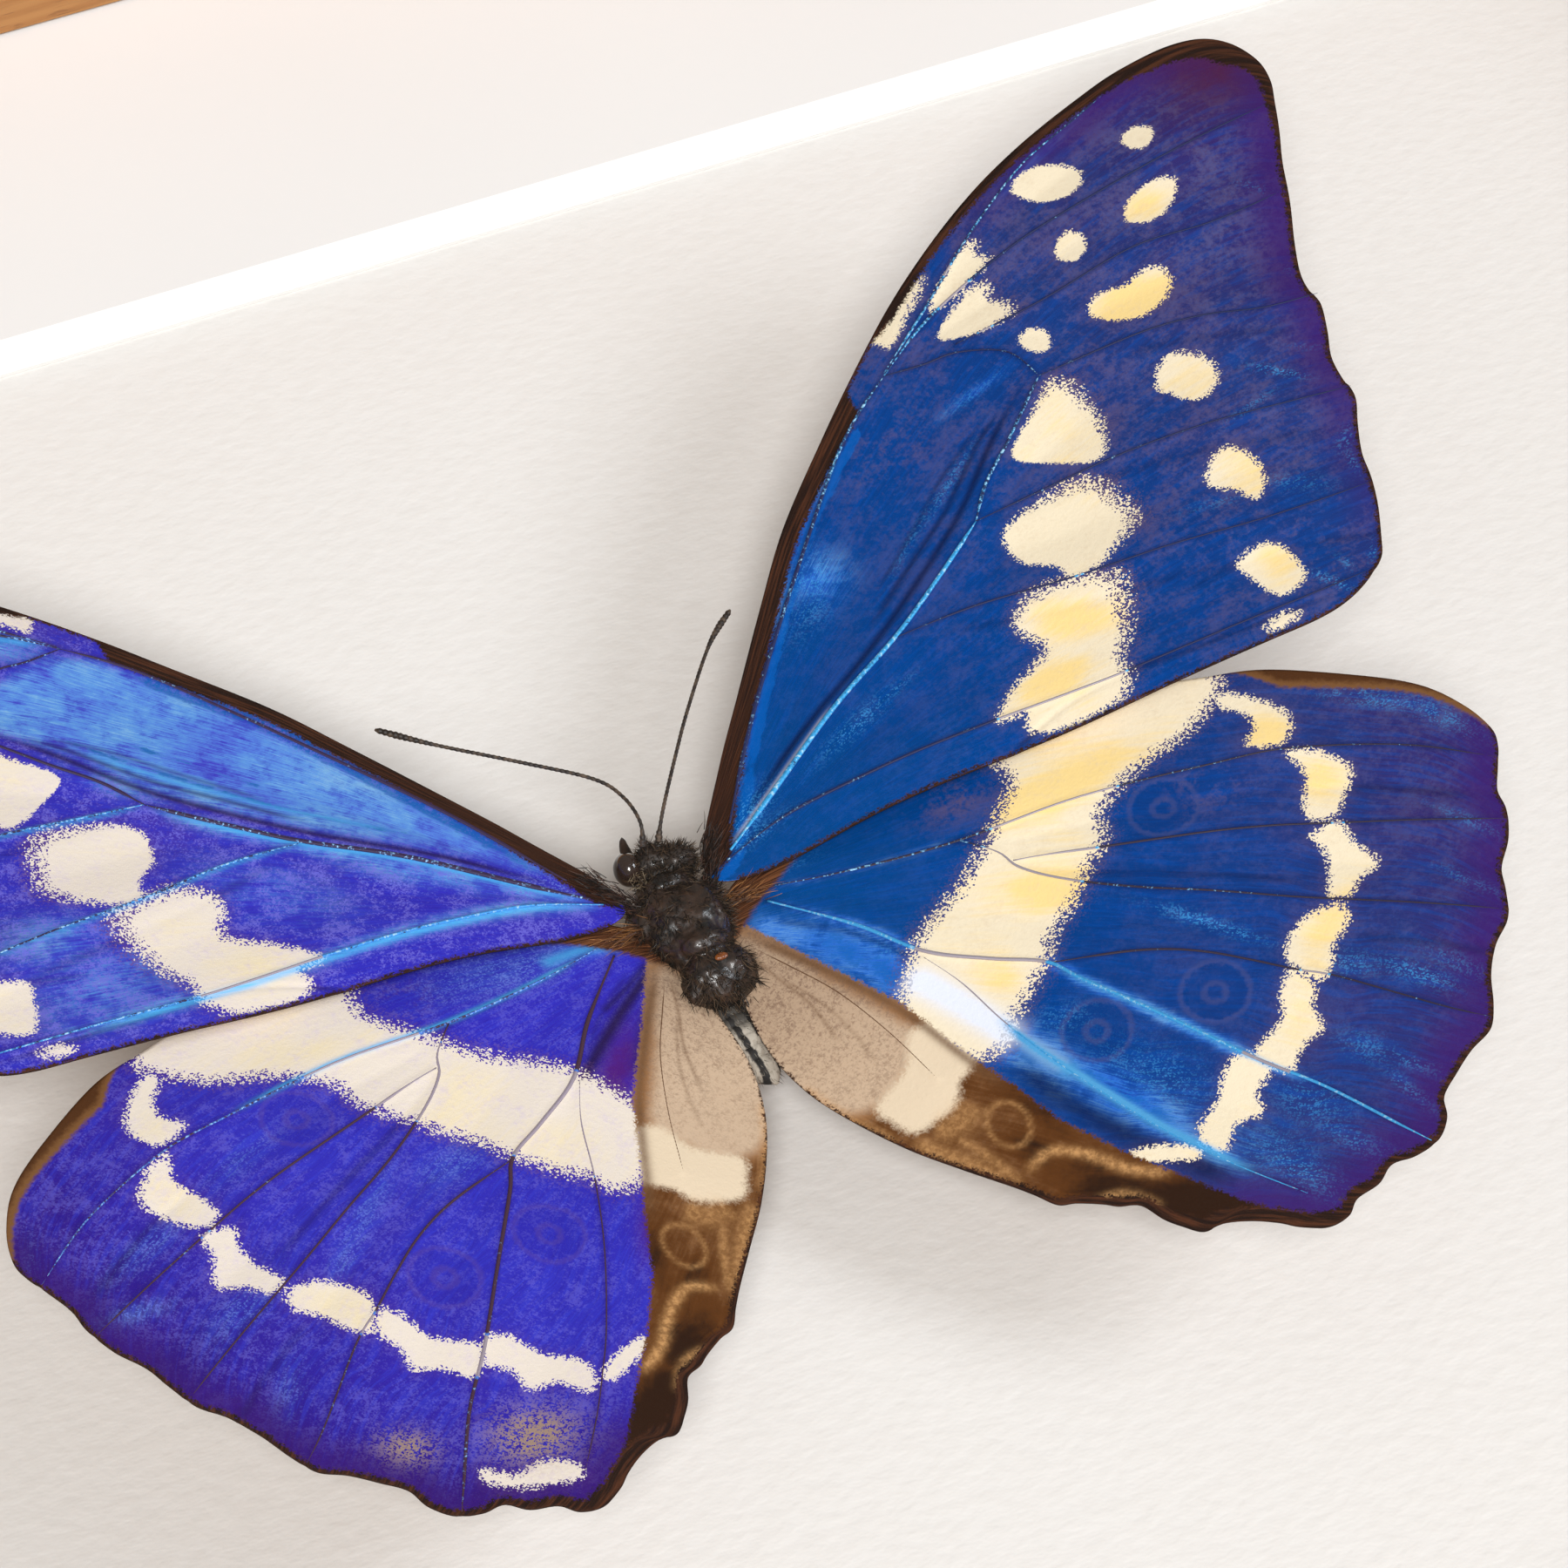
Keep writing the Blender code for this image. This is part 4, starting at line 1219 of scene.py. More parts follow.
HIND_MARKS = (
    (0.6, 0.6, ((21.2, 6.0), (22.0, 1.3), (21.7, -0.2), (20.7, -1.2), (19.0, -2.7), (16.7, -4.5),
                  (14.3, -5.8), (11.9, -7.2), (9.6, -9.8), (8.6, -11.8), (9.6, -14.4), (11.0, -16.4),
                  (13.0, -16.6), (14.0, -15.3), (15.0, -14.7), (16.3, -13.7), (17.7, -12.7),
                  (19.0, -11.0), (21.0, -9.7), (23.0, -8.0), (24.7, -6.7), (25.3, -5.0),
                  (27.3, -3.7), (30.0, -2.8), (32.3, -2.5), (35.0, -1.2), (36.2, 0.0), (35.0, 3.0),
                  (29.0, 6.0))),
    (0.25, 0.3, ((35.6, -0.9), (36.9, -1.7), (38.5, -4.3), (37.7, -6.2), (36.4, -6.2), (35.2, -5.3),
                 (36.3, -4.3), (36.3, -3.0), (35.3, -1.7))),
    (0.25, 0.3, ((37.0, -7.2), (37.9, -7.5), (38.8, -8.2), (39.8, -10.0), (39.0, -11.3),
                 (37.3, -12.7), (35.9, -12.2), (36.3, -10.7), (37.3, -9.0))),
    (0.25, 0.3, ((35.4, -13.3), (37.3, -13.3), (37.4, -15.0), (37.9, -17.0), (36.3, -17.6),
                 (35.2, -18.4), (34.2, -17.7), (35.0, -16.3), (35.6, -14.7))),
    (0.25, 0.3, ((32.7, -18.2), (34.2, -18.5), (34.5, -19.7), (33.0, -20.7), (32.0, -22.0),
                 (31.0, -22.7), (30.2, -21.7), (30.0, -20.0), (31.2, -18.7))),
    (0.25, 0.3, ((29.7, -21.2), (30.5, -22.7), (29.7, -24.0), (29.5, -25.5), (28.0, -26.0),
                 (26.4, -27.2), (25.4, -26.0), (25.3, -25.0), (27.7, -23.7), (28.5, -22.1))),
    (0.25, 0.3, ((24.7, -24.8), (25.6, -26.5), (24.2, -27.3), (23.7, -28.7), (22.0, -28.7),
                 (20.7, -30.0), (19.8, -29.3), (20.1, -27.7), (22.0, -26.5), (23.3, -25.0))),
    (0.2, 0.2, ((15.7, -27.2), (17.5, -27.7), (19.3, -29.0), (18.9, -29.7), (17.2, -28.8),
                (15.9, -28.1))),
)
HIND_EYES = ((28.8, -6.7), (25.2, -20.1), (18.0, -18.7))
BARK_EYE = (10.7, -21.6)
PANEL = (
    (2.2, -1.6), (4.0, -3.0), (6.2, -8.0), (8.6, -12.6), (7.6, -14.6), (5.4, -16.2), (3.0, -16.0),
    (1.0, -13.0), (0.2, -8.0),
)
BARK_PATCH = (
    (9.6, -12.6), (8.2, -13.0), (7.0, -15.0), (4.4, -16.4), (4.8, -18.0), (5.8, -19.3), (8.5, -18.9),
    (9.6, -17.6), (11.2, -16.3), (10.4, -13.8),
)
pale, loose = marks_depth(hind_places, HIND_MARKS)
height, ribs, folds = wing_height(hind_places, hind_lines, HIND_CREASES, HIND_COCKLE)
eye_gap = np.min([np.linalg.norm(hind_places - spot, axis=1) for spot in HIND_EYES], axis=0)
margin_gap, margin_share = gap_to(hind_places, margin)
inner_gap, inner_share = gap_to(hind_places, inner)
front_gap, front_share = gap_to(hind_places, front)
margin_width = np.interp(margin_share, [0.0, 0.15, 0.6, 0.85, 1.0], [0.2, 0.25, 0.35, 0.5, 0.9])
inner_width = np.interp(inner_share, [0.0, 0.12, 0.3, 0.42, 0.7, 1.0], [1.1, 0.9, 0.6, 0.35, 0.08, 0.0])
hind_rim = np.maximum(margin_width - margin_gap, inner_width - inner_gap)
costal_width = np.interp(front_share, [0.0, 0.66, 0.74, 0.9, 1.0], [-1.0, -0.5, 1.4, 0.75, 0.2])
dark_bark = np.clip((-14.8 - hind_places[:, 1]) / 4.0, 0.0, 0.66)
dark_bark = dark_bark + soft_spots(
    hind_places,
    (
        (14.0, -29.4, 3.6, 1.8, -60.0, 0.6),
        (17.6, -32.6, 4.5, 1.8, -40.0, 0.8),
        (11.2, -24.0, 1.6, 1.0, -60.0, 0.4),
        (12.6, -21.8, 0.8, 2.6, 20.0, 0.35),
        (8.6, -11.2, 0.35, 4.6, 25.0, 0.25),
    ),
)
BASAL = (
    (0.6, -1.4), (2.6, -1.0), (4.4, 0.2), (7.2, 1.7), (9.6, 3.2), (8.0, 4.4), (4.0, 3.4), (0.6, 2.0),
)
dusty = np.interp(hind_places[:, 1], [-15.0, -9.0, -3.0], [0.25, 0.55, 0.9])
bark_eye_gap = np.hypot((hind_places[:, 0] - BARK_EYE[0]) / 0.72, hind_places[:, 1] - BARK_EYE[1])
bark_ring = np.exp(-(((bark_eye_gap - 1.65) / 0.2) ** 2)) * 0.36
tawny = soft_lines(
    hind_places,
    (
        (0.3, 0.45, ((7.6, -20.6), (8.6, -22.6), (9.6, -25.8))),
        (0.34, 0.7, ((9.9, -25.3), (11.8, -24.6), (13.6, -25.9), (15.3, -28.2), (17.4, -29.8))),
        (0.3, 0.5, ((12.4, -29.0), (14.4, -29.6), (15.8, -31.6))),
        (0.6, 0.5, ((5.2, -19.6), (7.2, -22.4), (9.0, -25.2))),
        (0.9, 0.4, ((6.6, -19.6), (8.2, -20.0), (9.6, -19.0))),
        (0.35, 0.45, ((1.2, -12.4), (2.6, -16.0), (4.6, -19.4))),
    ),
)
seam = soft_lines(
    hind_places,
    (
        (0.12, 0.5, ((2.6, -2.2), (3.3, -5.0), (4.2, -7.8), (4.6, -11.4))),
        (0.10, 0.4, ((3.4, -5.0), (4.9, -8.4), (5.6, -11.4), (5.8, -14.0))),
        (0.36, 0.8, ((2.8, -0.9), (5.8, -5.8), (8.6, -10.8), (10.4, -15.6), (11.8, -19.6))),
    ),
)
# Streaks of painted glints on each hindwing, which also add a little painted sheen.
RIGHT_GLINT_STREAKS = (
    (24.0, -34.2, 4.0, 1.0, -65.0, 0.9), (28.0, -34.4, 3.4, 0.6, -62.0, 0.8),
    (31.9, -32.6, 2.2, 0.35, -78.0, 1.0), (33.0, -30.8, 2.6, 0.4, -60.0, 0.7),
    (36.0, -25.4, 2.4, 0.6, -55.0, 0.9), (32.8, -22.4, 1.8, 0.8, -40.0, 0.7),
    (39.0, -27.0, 2.6, 0.6, -58.0, 0.9), (42.6, -22.6, 3.0, 0.4, -60.0, 0.9),
    (44.4, -18.4, 2.8, 0.4, -60.0, 0.7), (46.6, -10.4, 2.8, 0.7, -62.0, 0.8),
    (44.2, -7.2, 2.4, 0.5, -40.0, 0.7), (42.6, -5.2, 1.8, 0.4, -30.0, 0.6),
    (27.2, -15.6, 3.4, 0.4, -52.0, 1.0), (19.6, -23.4, 3.6, 1.6, -55.0, 0.55),
    (16.6, -16.8, 1.6, 1.0, -20.0, 0.5), (23.0, -31.6, 2.6, 1.6, -60.0, 0.5),
    (26.4, -29.6, 2.2, 1.2, -60.0, 0.5), (31.0, -28.0, 1.6, 0.8, -55.0, 0.5),
    (6.2, 2.2, 2.4, 0.6, -5.0, 0.6), (10.4, -7.6, 2.0, 0.5, -50.0, 0.5),
)
LEFT_GLINT_STREAKS = (
    (21.0, -12.2, 2.6, 1.2, -25.0, 0.7), (27.6, -14.4, 3.4, 0.7, -45.0, 0.6),
    (30.2, -17.2, 2.4, 0.6, -45.0, 0.55), (36.8, -18.8, 3.0, 1.0, -35.0, 0.7),
    (40.4, -13.0, 3.4, 0.8, -30.0, 0.7), (43.6, -17.7, 2.2, 0.6, -5.0, 1.0),
    (33.0, -8.6, 3.0, 0.8, -30.0, 0.4), (37.0, -25.2, 2.4, 0.8, -60.0, 0.4),
    (12.0, 1.0, 5.0, 1.6, -4.0, 0.9), (47.4, -12.6, 1.6, 0.4, -70.0, 0.6),
    (7.0, 2.2, 2.6, 0.8, -5.0, 0.8),
)
# Painted highlights on the right hindwing: a sheen along the fold, bright ribs, a white streak and pale
# blue lines where the light catches the veins.
FOLD_SHEEN_LINE = (
    (1.3, 1.0, ((4.6, -1.2), (7.2, -4.6), (9.4, -8.4), (11.2, -12.4), (13.2, -16.4), (15.2, -20.0),
                (17.6, -24.6), (20.4, -29.6))),
)
RIB_HIGHLIGHT_LINES = (
    (0.34, 1.2, ((5.2, 0.2), (9.0, -4.3), (11.7, -8.2), (15.0, -10.8), (17.7, -12.8), (19.0, -15.3),
                 (22.0, -20.3), (25.0, -25.3), (27.7, -29.3))),
    (0.5, 1.4, ((13.4, -15.2), (14.2, -17.4), (15.6, -20.9), (17.9, -26.0), (19.5, -29.0),
                (21.4, -32.4))),
    (0.9, 0.85, ((3.4, -0.4), (6.4, -3.8), (9.2, -7.8), (10.4, -9.8))),
    (0.22, 0.7, ((6.0, 1.0), (10.0, -0.3), (17.0, -2.1))),
)
# Painted highlights along the left hindwing's front veins.
FRONT_FLASH = (
    (0.2, 0.8, ((6.4, 1.0), (10.0, -0.2), (17.0, -2.0), (25.0, -3.1), (32.3, -5.3))),
    (0.5, 0.7, ((4.0, 1.0), (7.0, 1.2), (10.0, 0.8))),
)
FOLD_HIGHLIGHT_LINES = (
    (0.92, 1.3, ((10.0, -8.8), (11.3, -11.2), (12.4, -13.6), (13.3, -15.7), (13.9, -17.2))),
    (0.42, 0.8, ((13.6, -16.0), (14.8, -19.0), (15.3, -20.2))),
)
BLUE_HIGHLIGHT_LINES = (
    (0.5, 1.0, ((13.9, -16.8), (14.6, -18.6), (15.6, -21.0))),
    (0.27, 1.4, ((13.4, -14.6), (14.3, -17.8), (15.6, -20.9), (17.9, -26.0), (19.5, -29.0),
                 (21.4, -32.4))),
    (0.16, 1.2, ((17.9, -13.1), (19.0, -15.3), (22.0, -20.3), (25.0, -25.3), (27.0, -28.3))),
)
ROOT_STRIPES = {
    "right": (
        (0.75, 0.8, ((12.6, -17.6), (14.2, -21.9), (16.4, -26.4), (18.3, -29.5), (20.3, -32.6))),
    ),
    "left": (
        (0.5, 1.0, ((2.6, -0.6), (6.6, -4.0), (10.8, -8.0), (12.6, -10.0))),
        (0.7, 1.1, ((2.4, -1.6), (4.6, -4.4), (6.6, -7.6), (7.6, -9.6))),
        (0.35, 0.8, ((3.0, -0.4), (5.6, -2.4), (8.2, -4.0))),
    ),
}
SMOKY = {
    "right": ((18.4, 0.8, 2.6, 1.9, 0.0, 1.0), (31.0, -6.8, 4.0, 2.0, -20.0, 0.8)),
    "left": ((19.0, 0.6, 2.0, 1.9, 0.0, 1.0),),
}
LOBE_SHEEN = ((20.6, -28.0, 5.4, 1.8, -62.0, 0.3),)
HIND_PLUM = ((8.6, -8.0, 4.0, 1.3, -52.0, 1.0), (12.0, -19.6, 3.0, 0.8, -62.0, 0.7))
HIND_WORN = ((24.8, -31.8, 2.4, 1.8, 0.0, 1.3), (32.0, -30.6, 1.6, 1.2, 20.0, 1.0))
HIND_FRINGE = (
    (23.4, -34.6), (25.0, -33.6), (27.0, -34.0), (28.6, -33.2), (28.8, -34.2), (27.0, -35.0),
    (25.0, -35.4), (23.6, -35.6),
)
HIND_HONEY = (
    (25.0, -1.8, 5.0, 1.6, 0.0, 1.0), (20.0, -8.0, 3.6, 1.8, -30.0, 1.0),
    (15.0, -12.4, 2.0, 1.6, -40.0, 0.8), (36.8, -5.2, 1.4, 1.6, 0.0, 0.8),
    (38.0, -10.0, 1.6, 2.0, 0.0, 0.8), (32.6, -20.0, 4.0, 1.6, 40.0, 0.6),
)
HIND_VEIN_GLINTS = {
    "right": {"front": (0.5, 0.0), "fork": (0.5, -0.2), "middle": (-0.1, -0.1), "low": (1.1, 1.1),
              "branch": (-0.2, 0.1), "fold": (1.2, 1.2), "anal": (-0.4, -0.4)},
    "left": {"front": (0.7, 0.6), "fork": (-0.2, -0.2), "middle": (-0.1, 0.1), "low": (-0.3, 0.3),
             "branch": (0.1, 0.2), "fold": (-0.4, -0.2), "anal": (-0.4, -0.4)},
}
HIND_THICK = {"low": (0.15, 0.10), "fold": (0.05, 0.04), "anal": (0.05, 0.025), "other": (0.10, 0.05)}
# Each side's rib colours: the dark rib, its painted glint and its painted highlight.
HIND_RIBS = {
    "right": (dye(52, 42, 62), dye(70, 170, 232), dye(176, 222, 246)),
    "left": (dye(72, 46, 62), dye(78, 132, 232), dye(176, 222, 246)),
}
hind_shape = {
    "places": hind_places, "counts": HIND_COUNTS, "tilt": HIND_TILT, "lift": HIND_LIFT,
    "height": height, "drop_of": hind_drop, "veins": HIND_VEINS, "creases": HIND_CREASES,
    "seed": HIND_COCKLE, "marks": HIND_MARKS, "bare": bark_line,
}
nothing = np.zeros(len(hind_places))
fold_sheen = soft_lines(hind_places, FOLD_SHEEN_LINE)
reach = np.interp(np.hypot(hind_places[:, 0] - 3.0, hind_places[:, 1]), [2.0, 44.0], [0.0, 1.0])
outward_dusk = np.interp(hind_places[:, 0], [8.0, 20.0, 34.0, 48.0], [0.0, 0.12, 0.25, 0.5])
for side, label, hue_and_sheen in ((1.0, "right", RIGHT_HUE_AND_PAINTED_SHEEN), (-1.0, "left", LEFT_HUE_AND_PAINTED_SHEEN)):
    right = side > 0.0
    sparks = soft_spots(hind_places, RIGHT_GLINT_STREAKS if right else LEFT_GLINT_STREAKS)
    # Painted sheen on the hindwings: along the fold, on the ribs and lobe, and a little with the glints.
    glow = fold_sheen * (0.95 if right else 0.0) + sparks * 0.14
    if right:
        glow = np.maximum(glow, soft_spots(hind_places, LOBE_SHEEN))
        glow = np.maximum(glow, soft_lines(hind_places, RIB_HIGHLIGHT_LINES))
        pale_here = pale
    else:
        fringe = depth_in(hind_places, smooth_line(HIND_FRINGE, 6, closed=True))
        pale_here = np.maximum(pale, fringe)
    smoke = soft_spots(hind_places, SMOKY[label])
    hind_marks = {
        "reach": reach,
        "pale": pale_here,
        "loose": loose,
        "honey": soft_spots(hind_places, HIND_HONEY) * (1.0 if right else 0.5),
        "rim": hind_rim,
        "far": np.interp(reach, [0.6, 0.85], [0.0, 1.0]),
        "vein": ribs,
        "crease": np.maximum(folds, soft_lines(hind_places, ROOT_STRIPES[label])),
        "eye": eye_gap,
        "glow": glow,
        "teal": fold_sheen * 0.6 if right else nothing,
        "white": soft_lines(hind_places, FOLD_HIGHLIGHT_LINES if right else FRONT_FLASH),
        "sky": soft_lines(hind_places, BLUE_HIGHLIGHT_LINES) if right else nothing,
        "spark": sparks * 0.8,
        "dusk": np.maximum(outward_dusk * (1.0 if right else 0.6), smoke),
        "plum": nothing if right else soft_spots(hind_places, HIND_PLUM),
        "glint": nothing + (0.1 if right else 0.35),
        "dusty": np.clip(dusty + (0.25 if right else 0.0), 0.0, 1.0),
        "basal": depth_in(hind_places, smooth_line(BASAL, 6, closed=True)),
        "bark": bark_depth,
        "panel": depth_in(hind_places, smooth_line(PANEL, 6, closed=True)),
        "patch": depth_in(hind_places, smooth_line(BARK_PATCH, 6, closed=True)),
        "umber": dark_bark,
        "tawny": np.maximum(tawny, bark_ring),
        "seam": seam,
        "costal": costal_width - front_gap,
        "worn": nothing if right else soft_spots(hind_places, HIND_WORN),
    }
    spread_wing(
        "hindwing", label, side, hue_and_sheen, hind_shape, hind_marks, HIND_VEIN_GLINTS[label], HIND_THICK,
        HIND_RIBS[label],
    )


# Forewings: long and hooked, over the hindwings, with the strongest blue in the cell at the root, much
# of it painted sheen.
# The front edge is stiff and dark, and cream marks cross the middle and run down the outer third.
FORE_TILT = math.radians(14.0)
FORE_LIFT = 0.75
FORE_COCKLE = 9.0
FORE_OUTLINE = (
    (3.3, 5.6), (7.0, 10.8), (10.0, 14.6), (14.1, 19.8), (18.4, 25.0), (23.7, 30.0), (28.9, 34.5),
    (32.0, 37.0), (35.1, 39.1), (38.6, 41.1), (42.5, 42.9), (46.9, 44.4), (51.3, 45.4), (54.2, 45.8),
    (57.0, 45.7), (59.2, 44.9), (60.6, 43.3), (61.3, 41.0), (61.1, 38.9), (60.3, 36.8), (59.5, 34.7),
    (58.4, 32.2), (57.2, 29.0), (56.0, 26.2), (55.0, 23.6), (54.7, 21.9), (54.8, 20.6), (54.2, 18.6),
    (53.4, 16.6), (53.1, 14.6), (53.1, 13.0), (52.3, 11.2), (51.4, 9.0), (50.9, 7.0), (50.2, 4.8),
    (49.2, 2.6), (48.4, 1.2), (47.0, 0.2), (45.2, -0.5), (43.0, -0.7), (39.4, -0.4), (33.0, 0.2),
    (24.5, 0.9), (19.0, 1.4), (13.1, 1.9), (7.8, 2.0), (4.6, 2.4), (3.0, 3.4),
)
front, margin, inner, root = split_loop(FORE_OUTLINE, (0, 16, 38, 46))
FORE_COUNTS = (220, 170)
fore_places = wing_places((root, front, margin[::-1], inner[::-1]), *FORE_COUNTS)
FORE_VEINS = {
    "stem": ((4.8, 4.6), (9.7, 7.4), (14.8, 10.3), (20.3, 12.9), (24.7, 15.5), (28.7, 18.1)),
    "stem_end": ((28.7, 18.1), (30.6, 20.4), (33.4, 22.6), (37.2, 25.9)),
    "shoulder": ((5.6, 6.4), (8.6, 10.6), (12.6, 15.6), (18.4, 22.2), (24.4, 28.6), (28.9, 31.7)),
    "outer": ((28.9, 31.7), (32.2, 33.7), (35.3, 35.0), (39.4, 36.2), (43.3, 36.8), (51.7, 37.2),
              (59.7, 37.0)),
    "edge": ((29.0, 31.9), (33.4, 35.0), (37.0, 37.7), (40.0, 39.7), (44.2, 42.1), (47.5, 43.2),
             (51.5, 44.3)),
    "cross": ((28.9, 31.7), (31.4, 31.0), (33.7, 30.6), (36.4, 28.8), (37.2, 25.9)),
    "first": ((33.9, 31.3), (40.4, 31.4), (47.0, 31.7), (52.2, 30.6), (57.0, 30.2)),
    "second": ((37.2, 25.9), (43.6, 25.4), (48.0, 24.2), (51.6, 22.4), (55.0, 21.4)),
    "third": ((28.7, 18.1), (33.0, 17.9), (38.4, 17.4), (44.6, 16.2), (49.6, 14.9), (53.2, 13.8)),
    "fourth": ((20.3, 12.9), (26.0, 12.2), (31.6, 10.7), (37.0, 9.4), (43.6, 7.8), (50.6, 6.6)),
    "inner": ((4.2, 4.0), (8.6, 4.9), (14.4, 4.6), (22.6, 3.8), (31.6, 2.5), (38.6, 1.6),
              (44.6, 0.9), (47.6, 0.6)),
}
FORE_CREASES = (
    (0.28, 0.9, ((6.4, 6.4), (12.0, 9.8), (18.0, 12.8), (23.6, 16.2), (28.4, 19.6), (32.6, 23.4),
                 (36.4, 26.2))),
    (0.24, 0.7, ((19.2, 14.6), (23.4, 17.4), (27.6, 20.2), (31.6, 23.6), (34.4, 25.2))),
    (0.20, 0.5, ((21.0, 17.0), (25.4, 20.2), (29.4, 23.2), (33.0, 24.9))),
    (0.40, 0.35, ((29.4, 17.4), (36.0, 16.6), (44.0, 14.4), (51.0, 12.0))),
    (0.35, 0.35, ((22.6, 11.8), (30.0, 9.2), (38.0, 6.8), (46.0, 4.0))),
    (0.30, 0.35, ((42.6, 24.6), (48.0, 22.4), (52.6, 19.8))),
    (0.22, 0.6, ((20.8, 0.6), (28.0, 2.6), (36.0, 1.6), (45.0, 0.2))),
    (0.22, 0.4, ((36.6, 5.8), (41.0, 5.6), (46.0, 4.4), (50.0, 2.6))),
)
FORE_MARKS = (
    (0.12, 0.15, ((50.6, 39.9), (51.2, 40.7), (52.2, 40.7), (52.7, 39.9), (52.3, 38.9), (51.3, 38.7))),
    (0.12, 0.2, ((42.7, 40.6), (44.0, 41.5), (45.4, 41.4), (46.8, 40.4), (47.3, 39.2), (46.3, 38.2),
                 (44.9, 38.2), (43.6, 39.0))),
    (0.12, 0.2, ((47.8, 34.2), (48.6, 35.3), (50.4, 35.9), (51.9, 35.4), (51.6, 34.3), (50.3, 33.2),
                 (49.0, 33.0), (48.0, 33.6))),
    (0.12, 0.2, ((42.7, 34.1), (43.4, 35.2), (44.4, 35.4), (44.9, 34.4), (44.3, 33.2), (43.4, 33.1))),
    (0.2, 0.3, ((42.4, 28.9), (43.1, 29.7), (44.3, 29.7), (45.4, 29.4), (46.6, 29.8), (47.7, 29.6),
                (48.1, 28.4), (47.2, 27.2), (45.6, 26.5), (44.3, 26.8), (43.2, 27.5))),
    (0.15, 0.2, ((37.4, 29.2), (38.3, 29.9), (39.2, 29.4), (39.3, 28.2), (38.6, 27.6), (37.8, 28.0))),
    (0.2, 0.3, ((43.1, 20.9), (43.8, 22.2), (45.0, 22.7), (46.2, 22.0), (47.0, 20.6), (46.6, 19.2),
                (45.4, 18.4), (44.2, 18.9), (43.6, 20.0))),
    (0.25, 0.3, ((42.2, 12.6), (43.4, 13.9), (44.6, 14.1), (45.5, 12.8), (45.6, 11.3), (44.9, 9.9),
                 (44.0, 9.6), (43.5, 10.8), (42.6, 11.6))),
    (0.2, 0.25, ((40.6, 5.6), (41.4, 6.1), (42.8, 6.2), (43.8, 5.2), (44.0, 3.4), (43.7, 2.4),
                 (42.3, 1.9), (41.5, 2.4), (41.1, 3.6), (40.9, 4.6))),
    (0.3, 0.3, ((39.9, 0.5), (41.2, 0.8), (42.2, 0.3), (41.3, -0.1), (40.3, 0.0))),
    (0.08, 0.75, ((37.7, 24.9), (35.3, 23.4), (32.9, 21.4), (34.3, 19.9), (37.4, 17.9), (38.7, 20.1),
                  (38.7, 23.0))),
    (0.2, 0.85, ((29.5, 15.7), (30.0, 16.6), (31.4, 17.1), (34.3, 17.2), (36.1, 16.6), (36.8, 14.8),
                 (37.0, 12.8), (35.7, 11.6), (33.6, 10.6), (31.8, 10.7), (31.2, 12.3), (29.8, 13.7))),
    (0.3, 0.95, ((27.1, 9.3), (27.9, 10.5), (29.6, 11.0), (32.1, 10.5), (33.7, 9.4), (33.6, 7.8),
                 (32.5, 5.1), (31.4, 3.7), (31.1, 1.9), (29.3, 0.8), (25.7, 1.1), (24.3, 2.1),
                 (24.6, 3.2), (22.9, 3.7), (25.0, 5.5), (27.5, 6.6), (28.0, 7.3))),
    (0.2, 0.5, ((29.5, 34.8), (30.4, 36.6), (32.9, 38.4), (34.4, 38.0), (33.9, 36.6), (32.5, 35.5),
                (31.4, 34.4), (30.2, 33.6), (29.8, 34.3))),
    (0.2, 0.35, ((33.8, 34.8), (34.8, 36.0), (37.5, 38.0), (38.9, 38.2), (38.4, 37.3), (39.1, 36.4),
                 (37.1, 35.6), (35.2, 34.8))),
    (0.12, 0.7, ((33.2, 32.5), (34.5, 33.7), (36.8, 35.0), (37.9, 34.7), (37.5, 33.7), (38.4, 31.9),
                 (37.1, 31.4), (35.2, 31.4))),
)
fore_lines = [smooth_line(route, 6) for route in FORE_VEINS.values()]
pale, loose = marks_depth(fore_places, FORE_MARKS)
height, ribs, folds = wing_height(fore_places, fore_lines, FORE_CREASES, FORE_COCKLE)
margin_gap, margin_share = gap_to(fore_places, margin)
inner_gap, _ = gap_to(fore_places, inner)
front_gap, front_share = gap_to(fore_places, front)
front_width = np.interp(
    front_share,
    [0.0, 0.12, 0.3, 0.42, 0.455, 0.475, 0.53, 0.56, 0.7, 0.86, 1.0],
    [1.9, 1.4, 1.25, 1.55, 1.7, 0.25, 0.25, 0.8, 0.8, 1.1, 1.9],
)
margin_width = np.interp(margin_share, [0.0, 0.08, 0.2, 0.5, 1.0], [1.7, 0.9, 0.4, 0.3, 0.25])
fore_rim = np.maximum(front_width - front_gap, margin_width - margin_gap)
fore_rim = np.maximum(fore_rim, 0.22 - inner_gap)
fore_reach = np.interp(fore_places[:, 0] * 0.9 + fore_places[:, 1] * 0.25, [3.0, 58.0], [0.0, 1.0])
CELL = (
    (5.4, 6.6), (9.0, 11.2), (13.0, 16.4), (18.6, 22.8), (24.2, 28.6), (28.6, 31.2), (33.0, 30.4),
    (36.4, 28.4), (36.8, 26.4), (32.4, 23.2), (28.4, 19.4), (23.6, 16.0), (18.0, 12.8), (12.0, 9.8),
)
cell_depth = depth_in(fore_places, smooth_line(CELL, 6, closed=True))
